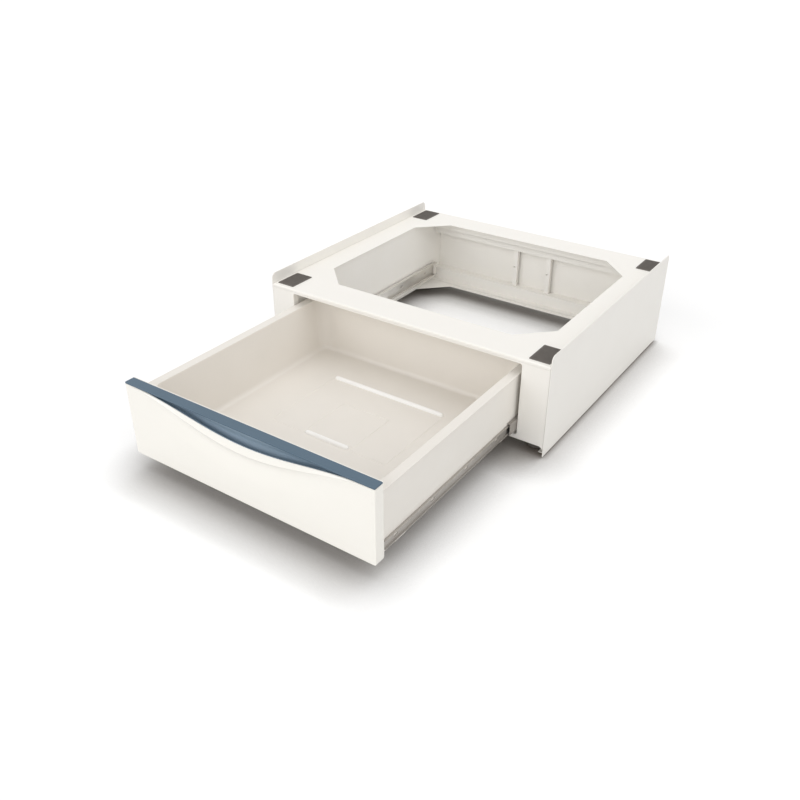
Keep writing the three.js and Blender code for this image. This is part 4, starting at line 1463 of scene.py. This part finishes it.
@dataclass
class LevellingFeet:
    """Rubber cups on threaded studs, with the inserts that hold the studs."""

    frame: Frame
    cup_radius: float = 16.0
    cup_height: float = 14.0
    seat_radius: float = 10.1
    seat_depth: float = 2.0
    hex_radius: float = 9.81
    hex_low_z: float = 12.3
    hex_high_z: float = 20.2
    stud_radius: float = 5.0
    stud_low_z: float = 13.3
    stud_high_z: float = 42.3
    pitch: float = 1.5
    thread_depth: float = 0.7

    def build(self) -> None:
        """Make each foot."""
        for end in ("front", "rear"):
            for side in Side:
                self._foot(f"{end}_{side.word}")

    def _foot(self, place: str) -> None:
        """A cup and a stud on one foot's body, and its insert on the cabinet.

        Args:
            place: The ending of the foot's names.
        """
        low, high = (Vector(corner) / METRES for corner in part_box(f"foot_pad_{place}"))
        centre = ((low.x + high.x) / 2, (low.y + high.y) / 2)
        body = f"foot_{place}"
        cup = Form().turned(self._cup_profile(), centre, 64).made(f"foot_cup_{place}")
        settle(cup, body, "dark_rubber", [f"foot_pad_{place}"])
        form = Form().prism(self._hexagon(centre), self.hex_low_z, self.hex_high_z, Axis.Z)
        form.shell(self._thread(centre))
        stud = form.made(f"foot_screw_{place}", 0.25, 1)
        settle(stud, body, "zinc_steel", [f"foot_stud_{place}"])
        self.frame.keep_shape(f"foot_insert_{place}", "cabinet", "zinc_steel", 0.3)

    def _cup_profile(self) -> list[Point2]:
        """Go round the cup, from the middle of its sole to the middle of its seat.

        Returns:
            The radius and height of each point.
        """
        r, h = self.cup_radius, self.cup_height
        floor = h - self.seat_depth
        grooves = [(r, 3.2), (r - 0.7, 3.6), (r - 0.7, 4.6), (r, 5.0)]
        sole = [(0.0, 0.6), (r - 5, 0.6), (r - 4.4, 0.0), *arc((r - 1.5, 1.5), 1.5, -90, 0, 5)]
        flank = [(r, h * 0.46), (r - 0.6, h * 0.56)]
        flank += [(r - 2.6, h - 0.9), (r - 3.2, h - 0.2), (r - 4, h)]
        seat = [(self.seat_radius + 0.3, h), (self.seat_radius, h - 0.3), (self.seat_radius, floor)]
        return [*sole, *grooves, *flank, *seat, (0.0, floor)]

    def _hexagon(self, centre: Point2) -> list[Point2]:
        """The outline of the wrench flats."""
        return arc(centre, self.hex_radius, 0, 360, 6)[:-1]

    def _thread(self, centre: Point2, around: int = 20, per_turn: int = 5) -> list[list[Vector]]:
        """A stud whose radius follows a helical thread, and runs out at its upper end.

        Args:
            centre: The stud's place in plan.
            around: Points round each ring.
            per_turn: Rings in one pitch.

        Returns:
            The rings from the foot up.
        """
        length = self.stud_high_z - self.stud_low_z
        levels = int(length / self.pitch * per_turn)
        rings = []
        for k in range(levels + 1):
            z = self.stud_low_z + length * k / levels
            end = min(1.0, (levels - k) / per_turn)
            ring = []
            for n in range(around):
                turn = 2 * math.pi * n / around
                phase = (z / self.pitch - n / around) % 1.0
                groove = 1 - abs(2 * phase - 1)
                radius = self.stud_radius - self.thread_depth * (groove * end + (1 - end))
                x, y = centre[0] + radius * math.cos(turn), centre[1] + radius * math.sin(turn)
                ring.append(Vector((x, y, z)))
            rings.append(ring)
        return rings


# ---------------------------------------------------------------- slides


@dataclass(frozen=True)
class CageSize:
    """A ball cage's section: its web, its mouth and its rows of balls, in millimetres."""

    web_x: float
    mouth_x: float
    ball_height: float
    ball_radius: float
    balls: int


@dataclass
class Slides:
    """Nested telescopic rails with their ball cages, brackets and stops."""

    frame: Frame
    centre_z: float = 51.0
    cage_sheet: float = 0.5
    end_room: float = 5.0
    outer: CageSize = CageSize(247.56, 242.1, 12.9, 1.3, 14)
    inner: CageSize = CageSize(245.25, 242.5, 9.1, 1.1, 8)
    ease: float = 0.3
    stop_ease: float = 0.8

    def build(self) -> None:
        """Make the rails of both sides and what runs between them."""
        for side in Side:
            word = side.word
            for name, body, finish in (
                (f"cabinet_rail_{word}", "cabinet", ZINC_STEEL),
                (f"rail_bracket_front_{word}", "cabinet", ZINC_STEEL),
                (f"rail_bracket_rear_{word}", "cabinet", ZINC_STEEL),
                # The rails that run out take the darker zinc: painted shade under the drawer.
                (f"middle_rail_{word}", f"middle_rail_{word}", SHADED_ZINC),
                (f"drawer_rail_{word}", "drawer", SHADED_ZINC),
            ):
                self.frame.keep_shape(name, body, "zinc_steel", self.ease, finish=finish)
            self.frame.keep_shape(f"rail_stop_{word}", "cabinet", "tub_plastic", self.stop_ease)
            self._cage(f"outer_cage_{word}", self.outer, side)
            self._cage(f"inner_cage_{word}", self.inner, side)

    def _cage(self, name: str, size: CageSize, side: Side) -> None:
        """A thin channel and its two rows of balls.

        Args:
            name: The cage's node and body.
            size: The section of the cage.
            side: Left or right.
        """
        low, high = (Vector(corner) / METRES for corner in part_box(name))
        half = size.ball_height + self.cage_sheet / 2
        mouth, web = size.mouth_x, size.web_x
        path = [(mouth, -half), (web, -half), (web, half), (mouth, half)]
        fold = bent(path, self.cage_sheet, 0.5)
        outline = [(side.value * x, self.centre_z + z) for x, z in fold]
        channel = Form().prism(outline, low.y, high.y, Axis.Y).made(f"{name}_channel")
        settle(channel, name, "ball_steel", [name])
        run = high.y - low.y - 2 * self.end_room
        step = (0, run / (size.balls - 1), 0)
        diameter = 2 * size.ball_radius
        rows = Rows(Shape.BALL, (diameter,) * 3, BALL_STEEL, size.balls, step)
        x = side.value * (size.web_x + size.mouth_x) / 2
        heights = (self.centre_z - size.ball_height, self.centre_z + size.ball_height)
        starts = [Spot((x, low.y + self.end_room, z), (0, 0, 1)) for z in heights]
        settle(rows.piece(f"{name}_balls", starts), name, "ball_steel")


# ---------------------------------------------------------------- drawer front


@dataclass(frozen=True)
class ScoopLine:
    """The dip along the top of the drawer front: its edge, its bevelled lip and its set-back.

    hollow gives, for the middle, the depth of the face under the crease at distances below it.
    """

    top_z: float = 163.0
    dip: float = 39.4
    half: float = 245.0
    lip_dip: float = 27.3
    lip_power: float = 1.0
    set_back: float = 3.4
    hollow: tuple[Point2, ...] = (
        (0.0, 46.0),
        (0.5, 35.0),
        (1.8, 24.0),
        (2.8, 16.0),
        (3.2, 11.0),
        (2.7, 6.0),
        (1.3, 2.2),
    )

    def share(self, x: float, power: float) -> float:
        """A smooth hump that is 1 in the middle and 0 at the ends."""
        t = min(abs(x) / self.half, 1.0)
        return (0.5 * (1 + math.cos(math.pi * t))) ** power

    def edge_z(self, x: float) -> float:
        """Height of the crease where the face turns into the lip."""
        return self.top_z - self.dip * self.share(x, 0.9)

    def lip_z(self, x: float) -> float:
        """Height of the lip's upper edge."""
        return self.top_z - self.lip_dip * self.share(x, self.lip_power)

    def back_y(self, x: float) -> float:
        """How far the lip's upper edge stands behind the face."""
        return 0.3 + (self.set_back - 0.3) * self.share(x, 0.4)

    def groove(self, x: float) -> list[Point2]:
        """The soft hollow along the face under the crease.

        Args:
            x: The place along the front.

        Returns:
            Depth behind the face and height of each point, from its foot up.
        """
        share, edge = self.share(x, 0.6), self.edge_z(x)
        return [(depth * share, edge - below) for depth, below in self.hollow]


@dataclass
class DrawerFront:
    """The moulded white shell of the drawer front with its scooped upper edge."""

    frame: Frame
    scoop: ScoopLine
    half: float = 245.4
    bottom_z: float = 30.6
    depth: float = 18.2
    wall: float = 2.0
    lip_wall: float = 1.5
    edge_radius: float = 1.6
    lower_corner: float = 4.0
    groove_room: float = 2.9
    groove_foot: float = 46.0
    stations: int = 161

    def build(self) -> None:
        """Make the shell and the flat panel behind it."""
        rings = [self._section(x, solid) for x, solid in self._places()]
        shell = Form().shell(rings).made("front_shell")
        settle(shell, "drawer", "front_plastic", ["drawer_front"])
        self.frame.keep_shape("inner_panel", "drawer", "front_plastic", 0.45)

    def _places(self) -> Iterator[tuple[float, bool]]:
        """Stations from end to end, closer together round the two upright edges.

        Yields:
            The place along the front, and whether the section is solid there.
        """
        inner = self.half - self.wall
        ends = [self.half - offset for offset in (0.0, 0.12, 0.45, 0.95, 1.6, 2.0)]
        for x in ends:
            yield -x, True
        for k in range(self.stations):
            yield -inner + 2 * inner * k / (self.stations - 1), False
        for x in reversed(ends):
            yield x, True

    @staticmethod
    def _eased(depth: float, radius: float) -> float:
        """How far a round edge has fallen back.

        Args:
            depth: The distance in from the end.
            radius: The edge's radius.

        Returns:
            The distance that it lies back.
        """
        if depth >= radius:
            return 0.0
        return radius - math.sqrt(radius**2 - (radius - depth) ** 2)

    def _section(self, x: float, solid: bool) -> list[Vector]:
        """One upright section across the shell.

        Args:
            x: The place along the front.
            solid: Whether the section is filled, as in the end walls.

        Returns:
            The points from the foot up the face, over the lip and back down inside.
        """
        from_end = self.half - abs(x)
        y0 = self.frame.drawer_y
        face = self._eased(from_end, self.edge_radius)
        foot = self.bottom_z + self._eased(from_end, self.lower_corner)
        r = self.edge_radius
        edge, top, back = self.scoop.edge_z(x), self.scoop.lip_z(x), self.scoop.back_y(x)
        rise = top - edge
        outside = [(self.depth, foot), *arc((r, foot + r), r, 270, 180, 6)]
        outside += self.scoop.groove(x)
        outside += [(0.03 * back, edge), (0.16 * back, edge + 0.08 * rise)]
        outside += [(0.55 * back, edge + 0.52 * rise), (0.93 * back, top - 0.07 * rise)]
        outside += [(back + 0.25, top - 0.02 * rise), (back + 0.75, top)]
        inside = [
            (back + self.lip_wall, top - 0.02 * rise),
            (back + self.lip_wall, top - 0.3 * rise),
            (0.55 * back + self.wall, edge + 0.4 * rise),
            (self.wall + self.groove_room, edge - 3.0),
            (self.wall + self.groove_room, edge - 22.0),
            (self.wall, edge - self.groove_foot),
            (self.wall, foot + self.wall + 1.0),
            (self.wall + 1.0, foot + self.wall),
            (self.depth, foot + self.wall),
        ]
        if solid:
            inside = [(self.depth, top)] + [
                (self.depth, top + (foot + 1 - top) * k / 6) for k in range(1, 7)
            ]
        points = [(max(y, face), z) for y, z in outside] + inside
        return [Vector((x, y0 + y, z)) for y, z in points]


@dataclass
class HandleTrim:
    """The slate-blue strip along the top of the drawer front, and the finger pocket under it."""

    frame: Frame
    scoop: ScoopLine
    half: float = 245.4
    pocket_half: float = 196.0
    top_z: float = 165.8
    height: float = 2.5
    depth: float = 18.2
    edge_radius: float = 1.6
    pocket_back: float = 16.4
    pocket_depth: float = 15.0
    wall: float = 1.2
    lip_wall: float = 1.5
    seat: float = 0.3
    radius: float = 4.0
    stations: int = 121

    def build(self) -> None:
        """Make the strip, and the pocket that hangs from it."""
        strip = Form().prism(self._plan(), self.top_z - self.height, self.top_z, Axis.Z)
        settle(strip.made("handle_strip", 0.4, 3), "drawer", "trim_plastic", ["handle_trim"])
        form = Form().shell(self._section(x, solid) for x, solid in self._places())
        # The pocket's paint is paler towards its bottom: painted light.
        settle(form.made("finger_pocket"), "drawer", "trim_plastic", finish=POCKET_PAINTED_LIGHT)

    def _plan(self) -> list[Point2]:
        """Draw the strip's plan, its two front corners round.

        Returns:
            The outline's points.
        """
        y, r = self.frame.drawer_y, self.edge_radius
        outline = arc((self.half - r, y + r), r, 270, 360, 6)
        outline += [(self.half, y + self.depth), (-self.half, y + self.depth)]
        return outline + arc((-self.half + r, y + r), r, 180, 270, 6)

    def _places(self) -> Iterator[tuple[float, bool]]:
        """Stations along the pocket.

        Yields:
            The place along the front, and whether the end wall fills the section.
        """
        inner = self.pocket_half - self.wall
        yield -self.pocket_half, True
        yield -inner, True
        for k in range(self.stations):
            yield -inner + 2 * inner * k / (self.stations - 1), False
        yield inner, True
        yield self.pocket_half, True

    def _section(self, x: float, solid: bool) -> list[Vector]:
        """One upright section across the pocket.

        Args:
            x: The place along the front.
            solid: Whether the section is filled, as in the end walls.

        Returns:
            The points round the outside, then along the hollow.
        """
        y0 = self.scoop.back_y(x) + self.lip_wall + self.seat
        y1 = self.pocket_back + self.wall
        top = self.scoop.lip_z(x) - 0.5
        bottom = top - self.pocket_depth * self.scoop.share(x, 0.5)
        under = self.top_z - self.height + 0.01
        rise = under - bottom
        low = bottom - self.wall
        outside = [(y1, under), (y1, low + 3), (y1 - 3, low), (y0 + 2, low), (y0, low + 2)]
        inner = y0 + self.wall
        r = min(self.radius, (self.pocket_back - inner) * 0.45, (top - bottom) * 0.8, rise * 0.4)
        hollow = [(y0, top), (inner, top)]
        hollow += arc((inner + r, bottom + r), r, 180, 270, 5)
        hollow += arc((self.pocket_back - r, bottom + r), r, 270, 360, 5)
        hollow += self._back_curve(under, rise)
        if solid:
            steps = len(hollow) - 1
            height, parts = under - low - 2, steps + 2
            hollow = [(y0, low + 2 + height * (k + 1) / parts) for k in range(steps)]
            hollow.append((y0, under))
        place = self.frame.drawer_y
        return [Vector((x, place + y, z)) for y, z in outside + hollow]

    def _back_curve(self, under: float, rise: float) -> list[Point2]:
        """The pocket's back wall, curving in from the strip's front edge."""
        knots = [(1.0, 0.58), (0.95, 0.48), (0.82, 0.38), (0.62, 0.28), (0.32, 0.14), (0.03, 0.0)]
        return [(self.pocket_back * share, under - rise * fall) for share, fall in knots]


# ---------------------------------------------------------------- drawer box


@dataclass(frozen=True)
class FloorRidge:
    """A low ridge round a square on the tub's floor: half its size, and its place along y."""

    half_x: float
    shift: float
    half_y: float
    rise: float


@dataclass
class DrawerTub:
    """The moulded tub: flat rim, drafted walls, filleted floor with raised lines and bars.

    bars gives each bar's place along y from the floor's middle, and its length.
    """

    frame: Frame
    half: float = 242.0
    front: float = 20.6
    back: float = 476.0
    rim_z: float = 146.5
    rim_width: float = 17.0
    rim_end: float = 7.0
    rim_thickness: float = 2.5
    rim_ease: float = 1.1
    mouth_ease: float = 1.6
    wall: float = 2.2
    base_z: float = 38.0
    floor_z: float = 40.0
    draft: float = 7.0
    corner: float = 26.0
    fillet: float = 9.0
    steps: int = 12
    ridges: tuple[FloorRidge, ...] = (
        FloorRidge(122.0, 35.7, 89.0, 0.6),
        FloorRidge(50.0, 7.7, 52.0, 0.7),
    )
    ridge_width: float = 2.2
    ridge_corner: float = 3.0
    bars: tuple[Point2, ...] = ((124.7, 240.0), (-52.3, 92.0))
    bar_width: float = 9.6
    bar_rise: float = 5.0

    def build(self) -> None:
        """Make the tub and what stands on its floor."""
        form = Form().shell(self._rings())
        middle = self.frame.drawer_y + (self.front + self.back) / 2
        for ridge in self.ridges:
            y = middle + ridge.shift
            low, high = (-ridge.half_x, y - ridge.half_y), (ridge.half_x, y + ridge.half_y)
            path = rounded_box(low, high, self.ridge_corner, 4)
            form.ridge(path, self.floor_z, self.ridge_width, ridge.rise)
        settle(form.made("tub_moulding"), "drawer", "tub_plastic", ["drawer_tub"])
        bars = Form()
        for shift, length in self.bars:
            bars.bar((0.0, middle + shift), length, self.bar_width, self.floor_z, self.bar_rise)
        # The bars take a lighter plastic: a painted highlight.
        settle(bars.made("tub_floor_bars"), "drawer", "tub_plastic", finish=BAR_PAINTED_HIGHLIGHT)

    def _ring(self, side_in: float, end_in: float, z: float, radius: float) -> list[Vector]:
        """One level of the tub.

        Args:
            side_in: The distance in from the rim's outer edge at the sides.
            end_in: The same at the front and back.
            z: The level's height.
            radius: The radius of its corners.

        Returns:
            The level's points.
        """
        y = self.frame.drawer_y
        low = (-self.half + side_in, y + self.front + end_in)
        high = (self.half - side_in, y + self.back - end_in)
        return [Vector((a, b, z)) for a, b in rounded_box(low, high, radius, self.steps)]

    def _inner(self, depth: float, z: float, radius: float) -> list[Vector]:
        """One level of the inner wall, by its distance in from the mouth."""
        return self._ring(self.rim_width + depth, self.rim_end + depth, z, radius)

    def _rings(self) -> Iterator[list[Vector]]:
        """Go from the middle of the base up outside, over the rim and down inside.

        Yields:
            Each level's points.
        """
        foot = self.floor_z + self.fillet
        under = self.rim_z - self.rim_thickness
        out = self.draft - self.wall
        yield self._inner(self.draft + self.fillet, self.base_z, 16)
        yield self._inner(out + 3.4, self.base_z + 1.6, 19)
        yield self._inner(out + 1.0, self.base_z + 5.0, 22)
        yield self._inner(out, foot + 2, self.corner)
        yield self._inner(-self.wall, under, self.corner + self.wall)
        yield self._ring(0.4, 0.4, under, 4)
        yield self._ring(0.0, 0.0, under + 0.5, 4)
        for angle in (math.radians(turn) for turn in (0, 25, 50, 75, 90)):
            inset = self.rim_ease * (1 - math.cos(angle))
            yield self._ring(inset, inset, self.rim_z - self.rim_ease * (1 - math.sin(angle)), 4)
        for angle in (math.radians(turn) for turn in (90, 68, 45, 22, 0)):
            inset = -self.mouth_ease * (1 - math.cos(angle))
            z = self.rim_z - self.mouth_ease * (1 - math.sin(angle))
            yield self._inner(inset, z, self.corner)
        yield self._inner(self.draft * 0.5, (self.rim_z + foot) / 2, self.corner - 2)
        for turn in range(0, 91, 10):
            angle = math.radians(turn)
            depth = self.draft + self.fillet * (1 - math.cos(angle))
            level = foot - self.fillet * math.sin(angle)
            yield self._inner(depth, level, self.corner - 4 - turn / 15)


@dataclass
class DrawerCase:
    """The folded sheets round the tub, the rails under it, and their screws and rivets."""

    frame: Frame
    side_x: float = 240.2
    rivet_y: float = 465.0
    rivet_heights: tuple[float, ...] = (82.0, 104.0, 126.0)
    rivet_head: Point3 = (6.0, 6.0, 2.4)
    bracket_x: float = 224.0
    bracket_y: float = 21.7
    bracket_z: float = 53.5
    screw_head: Point3 = (6.4, 6.4, 2.0)
    rail_x: float = 222.0
    rail_z: float = 35.0
    rail_centres: tuple[float, ...] = (70.0, 380.0)
    rail_rivet_shift: float = 18.0
    ease: float = 0.4

    def build(self) -> None:
        """Make the sheets and their fixings."""
        stems = (("drawer_side", "drawer_coat"), ("corner_bracket", "zinc_steel"))
        pieces = [(f"{stem}_{side.word}", slot) for side in Side for stem, slot in stems]
        pieces.append(("drawer_back", "drawer_coat"))
        pieces += [(f"cross_rail_{end}", "zinc_steel") for end in ("front", "rear")]
        for name, slot in pieces:
            self.frame.keep_shape(name, "drawer", slot, self.ease)
        self._rivets()
        self._screws()

    def _rivets(self) -> None:
        """Rivets through the side walls into the back wall, and under the cross rails."""
        y0 = self.frame.drawer_y
        spots = [
            Spot((side.value * self.side_x, y0 + self.rivet_y, z), (side.value, 0, 0))
            for side in Side
            for z in self.rivet_heights
        ]
        spots += [
            Spot((side.value * self.rail_x, y0 + y + shift, self.rail_z), (0, 0, -1))
            for side in Side
            for y in self.rail_centres
            for shift in (-self.rail_rivet_shift, self.rail_rivet_shift)
        ]
        rows = Rows(Shape.RIVET, self.rivet_head, ZINC_STEEL)
        settle(rows.piece("drawer_rivets", spots), "drawer", "zinc_steel")

    def _screws(self) -> None:
        """Screws through the corner brackets into the drawer front."""
        y = self.frame.drawer_y + self.bracket_y
        places = [(side.value * self.bracket_x, y, self.bracket_z) for side in Side]
        spots = [Spot(place, (0, 1, 0)) for place in places]
        rows = Rows(Shape.SCREW, self.screw_head, ZINC_STEEL)
        settle(rows.piece("bracket_screws", spots), "drawer", "zinc_steel")


# ---------------------------------------------------------------- whole object


def main() -> None:
    """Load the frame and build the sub-assemblies in order."""
    logging.basicConfig(level=logging.INFO, format="%(name)s: %(message)s", stream=sys.stdout)
    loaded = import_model()
    PhotoCamera().place()
    Studio().build()
    frame = Frame.read(loaded)
    scoop = ScoopLine()
    for part in (
        CabinetShell(frame),
        CabinetInside(frame),
        DeckPads(frame),
        LevellingFeet(frame),
        Slides(frame),
        DrawerFront(frame, scoop),
        HandleTrim(frame, scoop),
        DrawerTub(frame),
        DrawerCase(frame),
    ):
        LOG.info("building %s", type(part).__name__)
        part.build()


if __name__ == "__main__":
    main()
